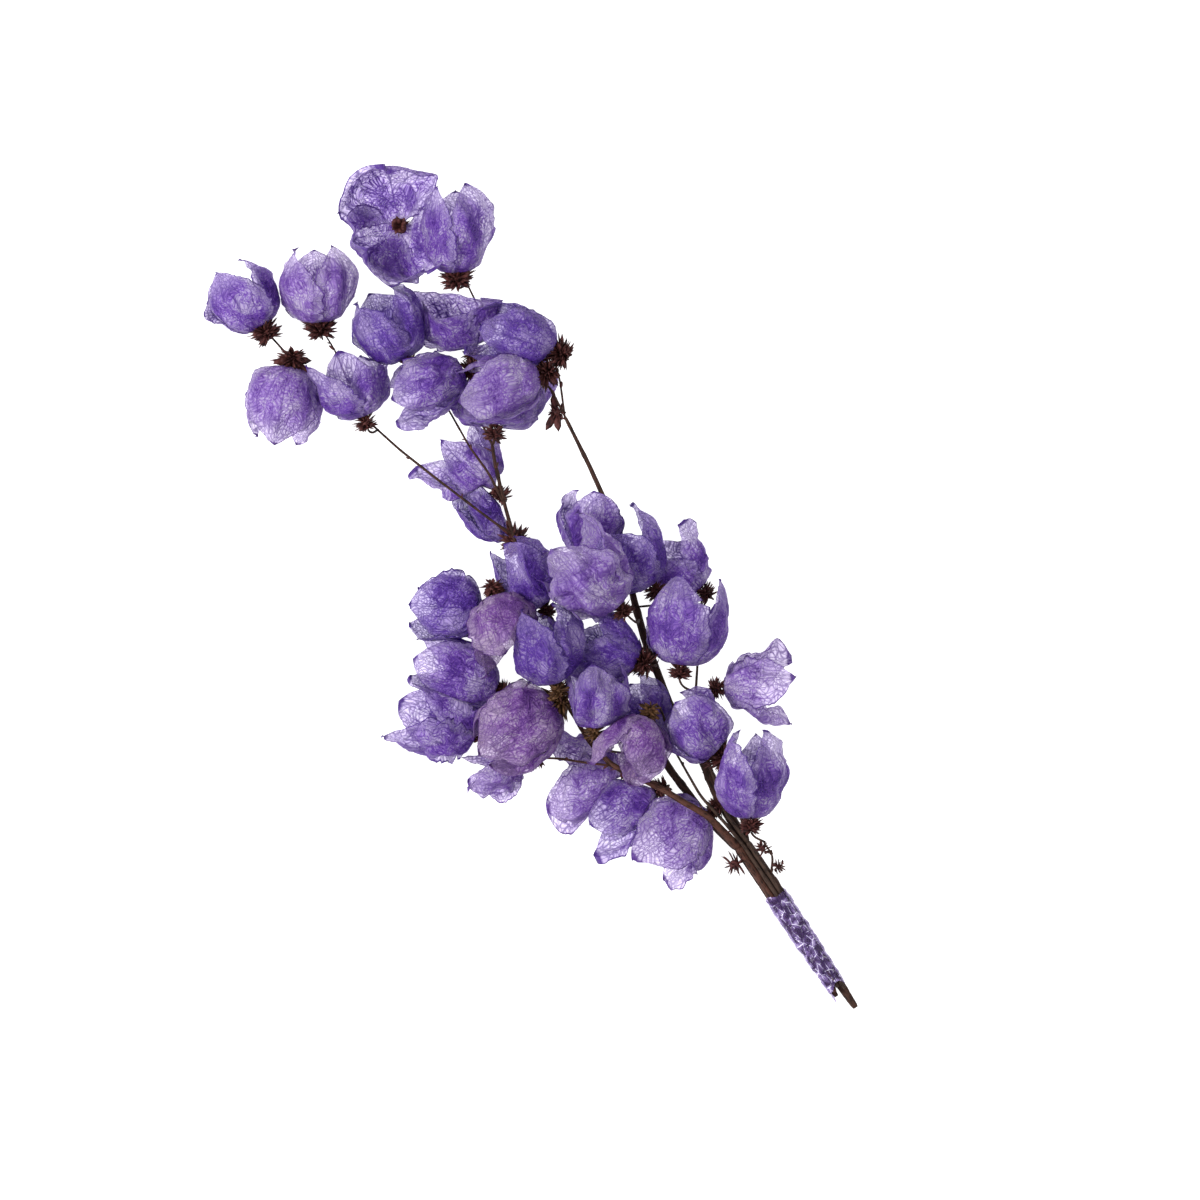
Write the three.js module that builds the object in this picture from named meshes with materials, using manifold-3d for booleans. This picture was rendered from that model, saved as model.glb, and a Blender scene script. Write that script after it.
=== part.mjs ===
// A cut bunch of dried bougainvillea lying on a flat surface, in millimetres.
// The papery heads are three cupped bracts each, on wiry brown stems that a wound strip of film
// holds together near their cut ends.
// The layout below is measured from the place where the stems come together, x to the right and
// y away from the viewer, and the whole bunch is then turned so that its stems run along Y.
import * as THREE from "three";
import { mergeVertices } from "three/addons/utils/BufferGeometryUtils.js";
import Module from "manifold-3d";

const wasm = await Module();
wasm.setup();

// The turn and the shift from the layout to the part's own frame.
const BUNCH_TURN_DEG = -30.5;
const BOX_CENTRE_X = -20.5;
const BOX_CENTRE_Y = 112;

// Thicknesses and gaps.
const BRACT_THICKNESS = 0.64;
const PIECE_GAP = 0.32;
const SOFT_ZONE = 2;
const LEVEL_PRESS = 5;
const FLAT_FLOOR = 0;
const FLAT_LEVEL = 0.25;
const NEIGHBOUR_REACH = 1;
const PRESS_ROUNDS = 3;
const HARD_ZONE = 0.01;

// Colours and how dull the surfaces are.
const HEAD_COLOUR = 0x7a5ac0;
const FILM_COLOUR = 0x6a45b0;
const HEAD_ROUGHNESS = 0.75;
const STEM_ROUGHNESS = 0.85;
const FILM_ROUGHNESS = 0.25;

// The form of a bract: it runs from its foot along a round balloon to a pointed tip.
const BRACT_COUNT = 3;
const BRACT_SPACING_DEG = 120;
const BRACT_REACH_DEG = 58;
const TIP_ANGLE_DEG = 166;
const FOOT_FULLNESS = 0.58;
const SPIRAL_LEAD = 0.04;
const RUFFLE = 0.06;
const SMALLEST_BRACT = 0.95;
const LEAN_RANGE_DEG = 3;
const SHORTEST_TIP = 0.94;
const BRACT_ROWS = [0.05, 0.26, 0.54, 0.8];
const BRACT_COLUMNS = [-1, -0.5, 0, 0.5, 1];

// The small thick foot that joins the three bracts.
const FOOT_THICKNESS = 1.8;
const FOOT_RISE = 0.5;
const FOOT_AHEAD = 1.2;
const FOOT_HOLD = 4;

// The bristly brown tuft behind each foot.
const TUFT_SETBACK = 2.9;
const TUFT_CORE = 2.2;
const TUFT_SIDES = 6;
const TUFT_RINGS_DEG = [52, 86, 118, 148];
const TUFT_SCALE_DEG = [70, 98, 134];
const TUFT_REACH = { 1: 5.6, 2: 7 };
const TUFT_STAND_SHARE = 0.5;
const TUFT_LEAST_STAND = 2.6;
const SCALE_TURN_DEG = 14;
const SCALE_TWIST = 0.5;
const SCALE_OPENING = 0.6;
const SCALE_LARGEST_DEG = 160;
const SCALE_LEAST_REACH = 0.78;
const SCALE_FLOOR = 0.2;
const PEDICEL_RADIUS = 0.6;
const PEDICEL_ROOT = 0.9;
const PEDICEL_LAP = 0.4;
const PEDICEL_LEAD = 0.35;
const PEDICEL_SHORT = 3;
const PEDICEL_STEPS = [0, 0.4, 0.75, 1];
const PEDICEL_SIDES = 3;
const STEM_SIDES = 5;

// The binding, a flattened tube of film round the stems.
const FILM_WALL = 0.8;
const FILM_INNER_HALF_WIDTH = 4.3;
const FILM_INNER_HALF_HEIGHT = 4.7;
const FILM_CENTRE_ACROSS = 0.2;
const FILM_CENTRE_HEIGHT = 5.4;
const FILM_SIDES = 14;
const FILM_ROWS = 5;
const FILM_FOLDS = 0.7;
const FILM_SQUARENESS = 3;

// The bundle's line, from the place where the stems meet to the two ends of the film.
const BUNDLE_START = [16, -20];
const BUNDLE_END = [40, -56];
const BUNDLE_LOOSE = 24;

// The heads: foot place, direction of the tip in degrees, rise, length, width, opening, roll
// about the head's own line, the stem it grows on and the size of its tuft.
const HEADS = [
  { at: [-188, 206, 14], toward: 122, rise: 0, long: 28, wide: 30, open: 3, roll: 60, stem: "A", tuft: 2 },
  { at: [-165.5, 207.5, 14], toward: 95, rise: 5, long: 30, wide: 32, open: 3, roll: 30, stem: "A", tuft: 2 },
  { at: [-177, 192, 14], toward: -101, rise: 0, long: 31, wide: 33, open: 4, roll: 90, stem: "A", tuft: 2 },
  { at: [-148, 170, 16], toward: 111, rise: 5, long: 26, wide: 29, open: 8, roll: 30, stem: "A", tuft: 1 },
  { at: [-134, 247, 10], toward: 130, rise: 86, long: 29, wide: 47, open: 35, roll: 45, stem: "A", tuft: 1 },
  { at: [-111, 227, 20], toward: 93, rise: 5, long: 35, wide: 30, open: 2, roll: 20, stem: "A", tuft: 2 },
  { at: [-130, 193, 18], toward: 118, rise: 5, long: 31, wide: 33, open: 4, roll: 40, stem: "A", tuft: 1 },
  { at: [-105, 198, 15], toward: 110, rise: 8, long: 28, wide: 32, open: 8, roll: 50, stem: "A", tuft: 1 },
  { at: [-107, 189, 19], toward: 201, rise: 5, long: 33, wide: 28, open: 4, roll: 90, stem: "A", tuft: 1 },
  { at: [-71, 196, 25], toward: 162, rise: 5, long: 34, wide: 30, open: 6, roll: 90, stem: "D", tuft: 2 },
  { at: [-77, 188, 27], toward: 195, rise: 5, long: 34, wide: 28, open: 4, roll: 70, stem: "D", tuft: 2 },
  { at: [-96, 166, 14], toward: 88, rise: -12, long: 27, wide: 38, open: 14, roll: 90, stem: "A", tuft: 1 },
  { at: [-95, 141, 9], toward: 136, rise: 0, long: 30, wide: 32, open: 8, roll: 90, stem: "A", tuft: 1 },
  { at: [-88.5, 122, 9], toward: 120, rise: 0, long: 31, wide: 30, open: 9, roll: 90, stem: "A", tuft: 2 },
  { at: [-57, 114, 13], toward: 88, rise: 0, long: 27, wide: 29, open: 3, roll: 90, stem: "D", tuft: 1 },
  { at: [-33, 103, 20], toward: 125, rise: 5, long: 32, wide: 33, open: 10, roll: 60, stem: "D", tuft: 1 },
  { at: [-13, 102, 13], toward: 135, rise: 0, long: 26, wide: 27, open: 12, roll: 40, stem: "E", tuft: 1 },
  { at: [-46, 95, 30], toward: 133, rise: 8, long: 38, wide: 36, open: 5, roll: 75, stem: "D", tuft: 1 },
  { at: [-76, 95, 23], toward: 125, rise: 5, long: 31, wide: 32, open: 5, roll: 90, stem: "A", tuft: 1 },
  { at: [-100, 94, 15], toward: 176, rise: 0, long: 28, wide: 31, open: 3, roll: 90, stem: "B", tuft: 1 },
  { at: [-96, 101, 28], toward: -72, rise: 8, long: 31, wide: 31, open: 10, roll: 90, stem: "B", tuft: 1 },
  { at: [-22, 71, 21], toward: 83, rise: 0, long: 36, wide: 36, open: 3, roll: 60, stem: "E", tuft: 1 },
  { at: [-38, 74, 23], toward: 158, rise: 5, long: 31, wide: 31, open: 7, roll: 60, stem: "D", tuft: 2 },
  { at: [-71, 64, 30], toward: 105, rise: 5, long: 33, wide: 34, open: 3, roll: 45, stem: "B", tuft: 1 },
  { at: [-94, 62, 15], toward: 160, rise: 0, long: 37, wide: 31, open: 4, roll: 90, stem: "B", tuft: 1 },
  { at: [-102, 44, 15], toward: 157, rise: 0, long: 33, wide: 36, open: 6, roll: 30, stem: "B", tuft: 1 },
  { at: [-71, 57, 23], toward: 213, rise: 6, long: 37, wide: 36, open: 2, roll: 90, stem: "B", tuft: 2 },
  { at: [-56, 47, 25], toward: 92, rise: 14, long: 29, wide: 33, open: 4, roll: 90, stem: "C", tuft: 1 },
  { at: [-35, 52, 27], toward: -115, rise: 12, long: 27, wide: 28, open: 12, roll: 60, stem: "C", tuft: 1 },
  { at: [-6, 36.5, 20], toward: 133, rise: 5, long: 31, wide: 29, open: 5, roll: 90, stem: "F", tuft: 2 },
  { at: [-6, 63, 13], toward: 3, rise: 0, long: 27, wide: 27, open: 8, roll: 75, stem: "E", tuft: 1 },
  { at: [6, 10, 21], toward: 92, rise: 0, long: 37, wide: 32, open: 4, roll: 30, stem: "F", tuft: 1 },
  { at: [-30, 44, 14], toward: 120, rise: 0, long: 24, wide: 24, open: 5, roll: 90, stem: "C", tuft: 1 },
  { at: [-82, 34.5, 11], toward: 190, rise: 0, long: 25, wide: 23, open: 8, roll: 60, stem: "B", tuft: 1 },
  { at: [-44, 29, 8], toward: 188, rise: 0, long: 34, wide: 36, open: 12, roll: 60, stem: "B", tuft: 1 },
  { at: [-31, 22, 8], toward: 206, rise: 0, long: 31, wide: 30, open: 8, roll: 90, stem: "B", tuft: 1 },
  { at: [-9, 14.5, 9.3], toward: 210, rise: 0, long: 34, wide: 35, open: 10, roll: 90, stem: "B", tuft: 1 },
];

// The stems: name, colour, thickness at the cut end, place in the bundle across and up, how far
// the cut end stands out of the film, and the route of the stem and of its forks.
const STEMS = {
  A: {
    name: "stem_long_dark", colour: 0x33241f, cutRadius: 1.6, across: -1.9, height: 3, beyond: 4,
    routes: [
      { to: 1.0, points: [
        [-10, 9.5, 4.5], [-26, 30, 6], [-32, 40, 7], [-40, 53, 7], [-53, 64, 7], [-66, 78, 7], [-78, 97, 8],
        [-83, 109, 10], [-88, 122, 13], [-92, 136, 15], [-96, 153, 15], [-97, 160, 12],
      ] },
      { from: 0.9, to: 0.6, points: [
        [-89, 124, 14], [-95, 128, 16], [-120, 147, 14], [-134, 158, 10], [-144, 167, 6], [-153, 176, 3.5],
        [-166, 183, 3.5], [-178, 195, 6], [-187, 205, 10],
      ] },
      { from: 0.6, to: 0.5, points: [[-152, 175, 3.5], [-155, 186, 3], [-160, 198, 6], [-165, 206, 10]] },
      { from: 0.8, to: 0.6, points: [
        [-92, 136, 15], [-98, 148, 17], [-106, 159, 14], [-115, 175, 6], [-122, 184, 4], [-128, 191, 9],
      ] },
      { from: 0.8, to: 0.6, points: [
        [-97, 160, 12], [-103, 172, 4], [-106, 184, 3], [-103, 202, 4], [-103, 216, 8], [-107, 224, 14],
      ] },
    ],
  },
  B: {
    name: "stem_reddish", colour: 0x5a3629, cutRadius: 1.5, across: -1.5, height: 6.6, beyond: 2,
    routes: [
      { to: 1.0, points: [
        [-11, 12, 14], [-20, 17, 15.5], [-28, 22, 15.5], [-38, 27, 15], [-49, 32, 14], [-58, 41, 12.5],
        [-64, 51, 12], [-69, 59, 13],
      ] },
      {
        from: 0.8,
        to: 0.6,
        points: [[-49, 32, 14], [-58, 33, 16], [-71, 35, 16], [-86, 35, 13], [-96, 38, 10]],
      },
      { from: 0.8, to: 0.6, points: [[-69, 59, 13], [-76, 69, 9], [-86, 79, 8], [-94, 89, 11]] },
    ],
  },
  C: {
    name: "stem_thin_grey", colour: 0x4a3c35, cutRadius: 0.8, across: 0.5, height: 8.8, beyond: 1,
    routes: [
      { to: 0.6, points: [[-4, 9, 12], [-14, 20, 16], [-22, 34, 13], [-26, 41, 13.5]] },
    ],
  },
  D: {
    name: "stem_thick_dark", colour: 0x3a2a22, cutRadius: 1.9, across: 1.9, height: 3.2, beyond: 12,
    routes: [
      { to: 1.0, points: [
        [-7, 20, 5], [-12, 32, 7], [-18, 43, 9], [-26, 56, 10], [-31, 69, 11], [-36, 82, 10],
        [-40, 96, 8], [-44, 113, 7], [-48, 129, 10], [-58, 151, 15], [-68, 171, 20],
      ] },
      { from: 0.7, to: 0.6, points: [[-68, 171, 20], [-70, 186, 22], [-72.5, 194, 24]] },
      { from: 0.7, to: 0.6, points: [[-68, 171, 20], [-73, 181, 23], [-77, 186, 26]] },
    ],
  },
  E: {
    name: "stem_right_wiry", colour: 0x40302a, cutRadius: 0.85, across: 2.5, height: 8.2, beyond: 3,
    routes: [
      { to: 0.6, points: [
        [-4, 13, 11.5], [-7, 23, 14], [-11, 34, 13], [-13, 48, 10], [-16, 58, 9], [-15, 73, 5],
        [-14, 93, 5], [-13, 101, 10],
      ] },
      { from: 0.6, to: 0.6, points: [[-16, 58, 9], [-11, 62, 12]] },
    ],
  },
  F: {
    name: "stem_short_brown", colour: 0x4b352b, cutRadius: 0.9, across: 2.9, height: 6.2, beyond: 5,
    routes: [
      { to: 0.6, points: [[4, 6, 7], [1, 16, 8], [-1, 25, 12], [-4, 33, 17]] },
      { from: 0.7, to: 0.6, points: [[16, -11, 7], [15, -4, 12], [11, 2, 18]] },
    ],
  },
};

// Loose tufts and buds that carry no head: place, direction, the stem and the size.
const BARE_TUFTS = [
  { at: [-2, -8, 7], toward: 195, rise: 10, stem: "B", reach: 7 },
  { at: [10, 0, 16], toward: 120, rise: 45, stem: "F", reach: 4.5 },
  { at: [19, -8, 5.6], toward: 20, rise: 0, stem: "F", reach: 4 },
  { at: [-73, 173, 20], toward: 175, rise: 10, stem: "D", reach: 5.5 },
];

const DEG = Math.PI / 180;

// A repeatable stream of numbers from 0 to 1.
function randomStream(seed) {
  let state = seed >>> 0;
  return () => {
    state = (state + 0x6d2b79f5) >>> 0;
    let mixed = Math.imul(state ^ (state >>> 15), state | 1);
    mixed ^= mixed + Math.imul(mixed ^ (mixed >>> 7), mixed | 61);
    return ((mixed ^ (mixed >>> 14)) >>> 0) / 4294967296;
  };
}

function vector(values) {
  return new THREE.Vector3(values[0], values[1], values[2]);
}

function direction(towardDeg, riseDeg) {
  const level = Math.cos(riseDeg * DEG);
  return new THREE.Vector3(
    level * Math.cos(towardDeg * DEG),
    level * Math.sin(towardDeg * DEG),
    Math.sin(riseDeg * DEG),
  );
}

function nearestOnSegment(point, start, end) {
  const along = end.clone().sub(start);
  const share = point.clone().sub(start).dot(along) / Math.max(along.lengthSq(), 1e-9);
  return start.clone().addScaledVector(along, Math.min(Math.max(share, 0), 1));
}

function nearestOnLine(point, line) {
  let best = line[0];
  for (let i = 0; i < line.length - 1; i++) {
    const near = nearestOnSegment(point, line[i], line[i + 1]);
    if (near.distanceTo(point) < best.distanceTo(point)) best = near;
  }
  return best.clone();
}

// The point of the bundle that lies the given way along it, across it and up.
function bundlePoint(along, across, height) {
  const dx = BUNDLE_END[0] - BUNDLE_START[0];
  const dy = BUNDLE_END[1] - BUNDLE_START[1];
  const length = Math.hypot(dx, dy);
  return new THREE.Vector3(
    BUNDLE_START[0] + (dx * along - dy * across) / length,
    BUNDLE_START[1] + (dy * along + dx * across) / length,
    height,
  );
}

const BUNDLE_LENGTH = Math.hypot(BUNDLE_END[0] - BUNDLE_START[0], BUNDLE_END[1] - BUNDLE_START[1]);

// The lines that a stem is made of: the stem itself through the bundle, then its forks, then a
// pedicel to every head. Each line is a list of points with a radius at its two ends.
function stemLines(key) {
  const stem = STEMS[key];
  const main = stem.routes[0];
  const cut = bundlePoint(BUNDLE_LENGTH + stem.beyond, stem.across, stem.height);
  const bound = bundlePoint(BUNDLE_LENGTH, stem.across, stem.height);
  const freed = bundlePoint(-BUNDLE_LOOSE, stem.across, stem.height);
  const lines = [
    { points: [cut, bound, freed], from: stem.cutRadius, to: stem.cutRadius },
    { points: [freed, ...main.points.map(vector)], from: stem.cutRadius, to: main.to },
  ];
  for (const fork of stem.routes.slice(1)) {
    const points = fork.points.map(vector);
    const parent = lines.reduce((best, line) => (
      nearestOnLine(points[0], line.points).distanceTo(points[0])
        < nearestOnLine(points[0], best.points).distanceTo(points[0]) ? line : best
    ), lines[1]);
    points[0] = nearestOnLine(points[0], parent.points);
    lines.push({ points, from: fork.from, to: fork.to });
  }
  return lines;
}

// The frame of a head or a tuft: its line and two directions across it.
function headFrame(head) {
  const axis = direction(head.toward, head.rise);
  const side = new THREE.Vector3(-Math.sin(head.toward * DEG), Math.cos(head.toward * DEG), 0);
  const up = axis.clone().cross(side);
  const foot = vector(head.at).addScaledVector(axis, FOOT_AHEAD);
  return { foot, axis, side, up };
}

// The pedicel's line, from inside the nearest stem to the back of the tuft.
function pedicelLine(frame, lines) {
  const back = frame.foot.clone().addScaledVector(frame.axis, -TUFT_SETBACK - TUFT_CORE - PEDICEL_LAP);
  let start = null;
  for (const line of lines) {
    const near = nearestOnLine(back, line.points);
    if (!start || near.distanceTo(back) < start.distanceTo(back)) start = near;
  }
  const reach = start.distanceTo(back);
  const lead = back.clone().addScaledVector(frame.axis, -reach * PEDICEL_LEAD);
  const points = [];
  for (const t of reach < PEDICEL_SHORT ? [0, 1] : PEDICEL_STEPS) {
    const a = start.clone().lerp(lead, t);
    const b = lead.clone().lerp(back, t);
    points.push(a.lerp(b, t));
  }
  const root = start.clone().addScaledVector(points[1].clone().sub(start).normalize(), -PEDICEL_ROOT);
  points[0] = root;
  for (const point of points) point.z = Math.max(point.z, PEDICEL_RADIUS);
  return { points, from: PEDICEL_RADIUS, to: PEDICEL_RADIUS };
}

const FRAMES = HEADS.map(headFrame);
const LINES = {};
for (const key of Object.keys(STEMS)) LINES[key] = stemLines(key);
const PEDICELS = HEADS.map((head, i) => pedicelLine(FRAMES[i], LINES[head.stem]));
const BARE_FRAMES = BARE_TUFTS.map(headFrame);
const BARE_PEDICELS = BARE_TUFTS.map((tuft, i) => pedicelLine(BARE_FRAMES[i], LINES[tuft.stem]));

// Everything stiff that a head or a tuft has to bend clear of, as short rods.
const RODS = [];
function addRods(line, stem, owner) {
  const last = line.points.length - 1;
  for (let i = 0; i < last; i++) {
    const radius = Math.max(
      line.from + (line.to - line.from) * (i / last),
      line.from + (line.to - line.from) * ((i + 1) / last),
    );
    RODS.push({ start: line.points[i], end: line.points[i + 1], radius, stem, owner });
  }
}
for (const key of Object.keys(LINES)) {
  for (const line of LINES[key]) addRods(line, key, "stem");
}
PEDICELS.forEach((line, i) => addRods(line, HEADS[i].stem, `head${i}`));
BARE_PEDICELS.forEach((line, i) => addRods(line, BARE_TUFTS[i].stem, `bare${i}`));

// Every tuft as a ball, and every head as a ball.
const TUFTS = [];
HEADS.forEach((head, i) => TUFTS.push({
  owner: `head${i}`, stem: head.stem, reach: TUFT_REACH[head.tuft], frame: FRAMES[i], open: head.open,
  pedicel: PEDICELS[i],
  centre: FRAMES[i].foot.clone().addScaledVector(FRAMES[i].axis, -TUFT_SETBACK),
}));
BARE_TUFTS.forEach((tuft, i) => TUFTS.push({
  owner: `bare${i}`, stem: tuft.stem, reach: tuft.reach, frame: BARE_FRAMES[i], open: 0,
  pedicel: BARE_PEDICELS[i],
  centre: BARE_FRAMES[i].foot.clone().addScaledVector(BARE_FRAMES[i].axis, -TUFT_SETBACK),
}));
const BALLS = HEADS.map((head, i) => ({
  centre: FRAMES[i].foot.clone().addScaledVector(FRAMES[i].axis, head.long / 2),
  radius: Math.max(head.long, head.wide) / 2,
}));

// The flat limits of one head or tuft: a point stays on the inner side of each of them.
// A limit faces away from the head, and leans level where the neighbour lies above or below it,
// since the papery heads press flat on each other.
function limitBetween(centre, near, share, standoff) {
  const out = near.clone().sub(centre);
  out.z *= LEVEL_PRESS;
  out.normalize();
  const reach = out.dot(near) - out.dot(centre);
  return { out, offset: out.dot(centre) + reach * share - standoff };
}

// The place on a rod that comes nearest to a point, where height counts more than distance aside.
function pressedNear(point, rod) {
  const stretch = (v) => new THREE.Vector3(v.x, v.y, v.z * Math.sqrt(LEVEL_PRESS));
  const near = nearestOnSegment(stretch(point), stretch(rod.start), stretch(rod.end));
  near.z /= Math.sqrt(LEVEL_PRESS);
  return near;
}

function headLimits(i) {
  const { centre, radius } = BALLS[i];
  const clear = BRACT_THICKNESS / 2 + PIECE_GAP;
  const limits = [];
  BALLS.forEach((other, j) => {
    if (j === i) return;
    if (other.centre.distanceTo(centre) > radius + other.radius + NEIGHBOUR_REACH) return;
    const share = radius / (radius + other.radius);
    limits.push(limitBetween(centre, other.centre, share, BRACT_THICKNESS / 2 + PIECE_GAP / 2));
  });
  for (const rod of RODS) {
    if (rod.owner === `head${i}`) continue;
    const near = pressedNear(centre, rod);
    if (near.distanceTo(centre) > radius + rod.radius + NEIGHBOUR_REACH) continue;
    limits.push(limitBetween(centre, near, 1, rod.radius + clear));
  }
  for (const tuft of TUFTS) {
    if (tuft.owner === `head${i}`) continue;
    if (tuft.centre.distanceTo(centre) > radius + tuft.reach + NEIGHBOUR_REACH) continue;
    const limit = limitBetween(tuft.centre, centre, 0, 0);
    const stand = tuftStand(limit.out.dot(centre) - limit.out.dot(tuft.centre), tuft);
    limits.push({ out: limit.out.clone().negate(), offset: -limit.offset - stand - clear });
  }
  return limits;
}

// How far a tuft stands out towards the middle of a head that lies the given way off.
function tuftStand(distance, tuft) {
  return Math.min(tuft.reach, Math.max(TUFT_LEAST_STAND, distance * TUFT_STAND_SHARE));
}

function tuftLimits(tuft) {
  const limits = [];
  BALLS.forEach((ball, j) => {
    if (tuft.owner === `head${j}`) return;
    if (tuft.centre.distanceTo(ball.centre) > ball.radius + tuft.reach + NEIGHBOUR_REACH) return;
    const limit = limitBetween(tuft.centre, ball.centre, 0, 0);
    limit.offset += tuftStand(limit.out.dot(ball.centre) - limit.out.dot(tuft.centre), tuft);
    limits.push(limit);
  });
  for (const rod of RODS) {
    if (rod.stem === tuft.stem) continue;
    const near = pressedNear(tuft.centre, rod);
    if (near.distanceTo(tuft.centre) > tuft.reach + rod.radius + NEIGHBOUR_REACH) continue;
    limits.push(limitBetween(tuft.centre, near, 1, rod.radius + PIECE_GAP));
  }
  for (const other of TUFTS) {
    if (other.stem === tuft.stem) continue;
    if (other.centre.distanceTo(tuft.centre) > tuft.reach + other.reach) continue;
    limits.push(limitBetween(tuft.centre, other.centre, 0.5, PIECE_GAP / 2));
  }
  return limits;
}

// Presses a point back inside the limits, softly, so that the surface stays rounded near them.
function pressInside(point, limits, soft) {
  for (let turn = 0; turn < PRESS_ROUNDS; turn++) {
    for (const limit of limits) {
      const past = limit.out.dot(point) - limit.offset + soft;
      if (past <= 0) continue;
      const pressed = soft * (1 - Math.exp(-past / soft));
      point.addScaledVector(limit.out, pressed - past);
    }
  }
  return point;
}

// One bract's own draws.
function bractDraws(index) {
  const random = randomStream(index * 977 + 13);
  const draws = [];
  for (let k = 0; k < BRACT_COUNT; k++) {
    draws.push({
      turn: (random() - 0.5) * 2,
      size: SMALLEST_BRACT + random() * 2 * (1 - SMALLEST_BRACT),
      wave: random() * 2 * Math.PI,
      ripple: random() * 2 * Math.PI,
      lean: (random() - 0.5) * LEAN_RANGE_DEG,
      tip: SHORTEST_TIP + random() * (1 - SHORTEST_TIP),
    });
  }
  return draws;
}

// How far round the balloon a bract reaches at the share s of its length, in degrees.
function bractReach(s) {
  const shoulder = Math.pow(Math.sin(Math.PI * Math.min(0.5, 0.18 + s * 0.7)), 0.5);
  const point = Math.pow(Math.max(0, 1 - Math.pow(s, 6)), 0.55);
  return BRACT_REACH_DEG * shoulder * point;
}

// How wide the balloon is at an angle round it: full near the foot and drawn in to the tip.
function bulge(angle) {
  return Math.pow(Math.max(Math.sin(angle), 0), angle < Math.PI / 2 ? FOOT_FULLNESS : 1);
}

// A place on a bract: s runs from the foot to the tip and t from edge to edge. The bract is a
// slice of the balloon, whose side line leans outwards by the head's opening past its first half.
function bractPoint(head, frame, draw, k, s, t) {
  const fullLean = Math.max(head.open + draw.lean, 0) * DEG;
  const lean = fullLean * Math.min(2 * s, 1);
  const halfWidth = head.wide / 2;
  const belly = Math.sqrt(halfWidth * (halfWidth - head.long * Math.sin(fullLean))) / Math.cos(fullLean);
  const angle = TIP_ANGLE_DEG * draw.tip * s * DEG;
  const bulged = belly * bulge(angle);
  const climb = head.long / 2 * (1 - Math.cos(angle));
  const wave = Math.sin(4.2 * s + draw.wave + 1.3 * t) * t * t + 0.4 * Math.sin(7.3 * s + draw.ripple) * t;
  const swell = draw.size * (1 + SPIRAL_LEAD * t + RUFFLE * wave * s);
  const outward = (bulged * Math.cos(lean) + climb * Math.sin(lean)) * swell;
  const ahead = (climb * Math.cos(lean) - bulged * Math.sin(lean)) * draw.size;
  const around = (head.roll + k * BRACT_SPACING_DEG + draw.turn + t * bractReach(s)) * DEG;
  return frame.foot.clone()
    .addScaledVector(frame.axis, ahead)
    .addScaledVector(frame.side, outward * Math.cos(around))
    .addScaledVector(frame.up, outward * Math.sin(around));
}

function surfaceGeometry(points, faces) {
  const positions = new Float32Array(points.length * 3);
  points.forEach((point, i) => point.toArray(positions, i * 3));
  const geometry = new THREE.BufferGeometry();
  geometry.setAttribute("position", new THREE.BufferAttribute(positions, 3));
  geometry.setIndex(faces.flat());
  return geometry;
}

// The middle surface of a head: a ring of bracts round one foot point, each a grid of rows and
// columns that ends in a tip. Neighbouring bracts touch only at the foot.
function headSkin(bracts, foot) {
  const points = [foot];
  const skin = [];
  const edges = [];
  const starts = [];
  for (const bract of bracts) {
    const columns = bract.rows[0].length;
    const first = points.length;
    starts.push([first, first + columns - 1]);
    for (const row of bract.rows) points.push(...row);
    points.push(bract.tip);
    const tip = points.length - 1;
    const at = (row, column) => first + row * columns + column;
    for (let c = 0; c < columns - 1; c++) skin.push([0, at(0, c), at(0, c + 1)]);
    for (let r = 0; r < bract.rows.length - 1; r++) {
      for (let c = 0; c < columns - 1; c++) {
        const [a, b, d, e] = [at(r, c), at(r, c + 1), at(r + 1, c), at(r + 1, c + 1)];
        if (c < (columns - 1) / 2) skin.push([a, d, e], [a, e, b]);
        else skin.push([a, d, b], [b, d, e]);
      }
    }
    const last = bract.rows.length - 1;
    for (let c = 0; c < columns - 1; c++) skin.push([at(last, c), tip, at(last, c + 1)]);
    for (let r = 0; r < last; r++) {
      edges.push([at(r, 0), at(r + 1, 0)], [at(r + 1, columns - 1), at(r, columns - 1)]);
    }
    edges.push([at(last, 0), tip], [tip, at(last, columns - 1)]);
  }
  starts.forEach(([, end], k) => {
    const next = starts[(k + 1) % starts.length][0];
    skin.push([0, end, next]);
    edges.push([end, next]);
  });
  return { points, skin, edges };
}

// A closed solid of even thickness round a middle surface, thicker at its first point.
function thickened({ points, skin, edges }, thickness, footThickness) {
  const normals = points.map(() => new THREE.Vector3());
  for (const [a, b, c] of skin) {
    const normal = points[b].clone().sub(points[a]).cross(points[c].clone().sub(points[a]));
    for (const i of [a, b, c]) normals[i].add(normal);
  }
  normals.forEach((normal) => normal.normalize());
  const count = points.length;
  const half = (i) => (i === 0 ? footThickness : thickness) / 2;
  const lifted = (side) => points.map((point, i) => {
    const pressedFlat = point.z < thickness / 2 + 1e-6 && Math.abs(normals[i].z) > FLAT_LEVEL;
    const normal = pressedFlat ? new THREE.Vector3(0, 0, Math.sign(normals[i].z)) : normals[i];
    const place = point.clone().addScaledVector(normal, side * half(i));
    place.z = Math.max(place.z, FLAT_FLOOR);
    return place;
  });
  const all = [...lifted(1), ...lifted(-1)];
  const faces = skin.map((face) => [...face]);
  for (const [a, b, c] of skin) faces.push([a + count, c + count, b + count]);
  for (const [a, b] of edges) faces.push([b, a, a + count], [b, a + count, b + count]);
  if (signedVolume(all, faces) < 0) return surfaceGeometry(all, faces.map(([a, b, c]) => [a, c, b]));
  return surfaceGeometry(all, faces);
}

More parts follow.
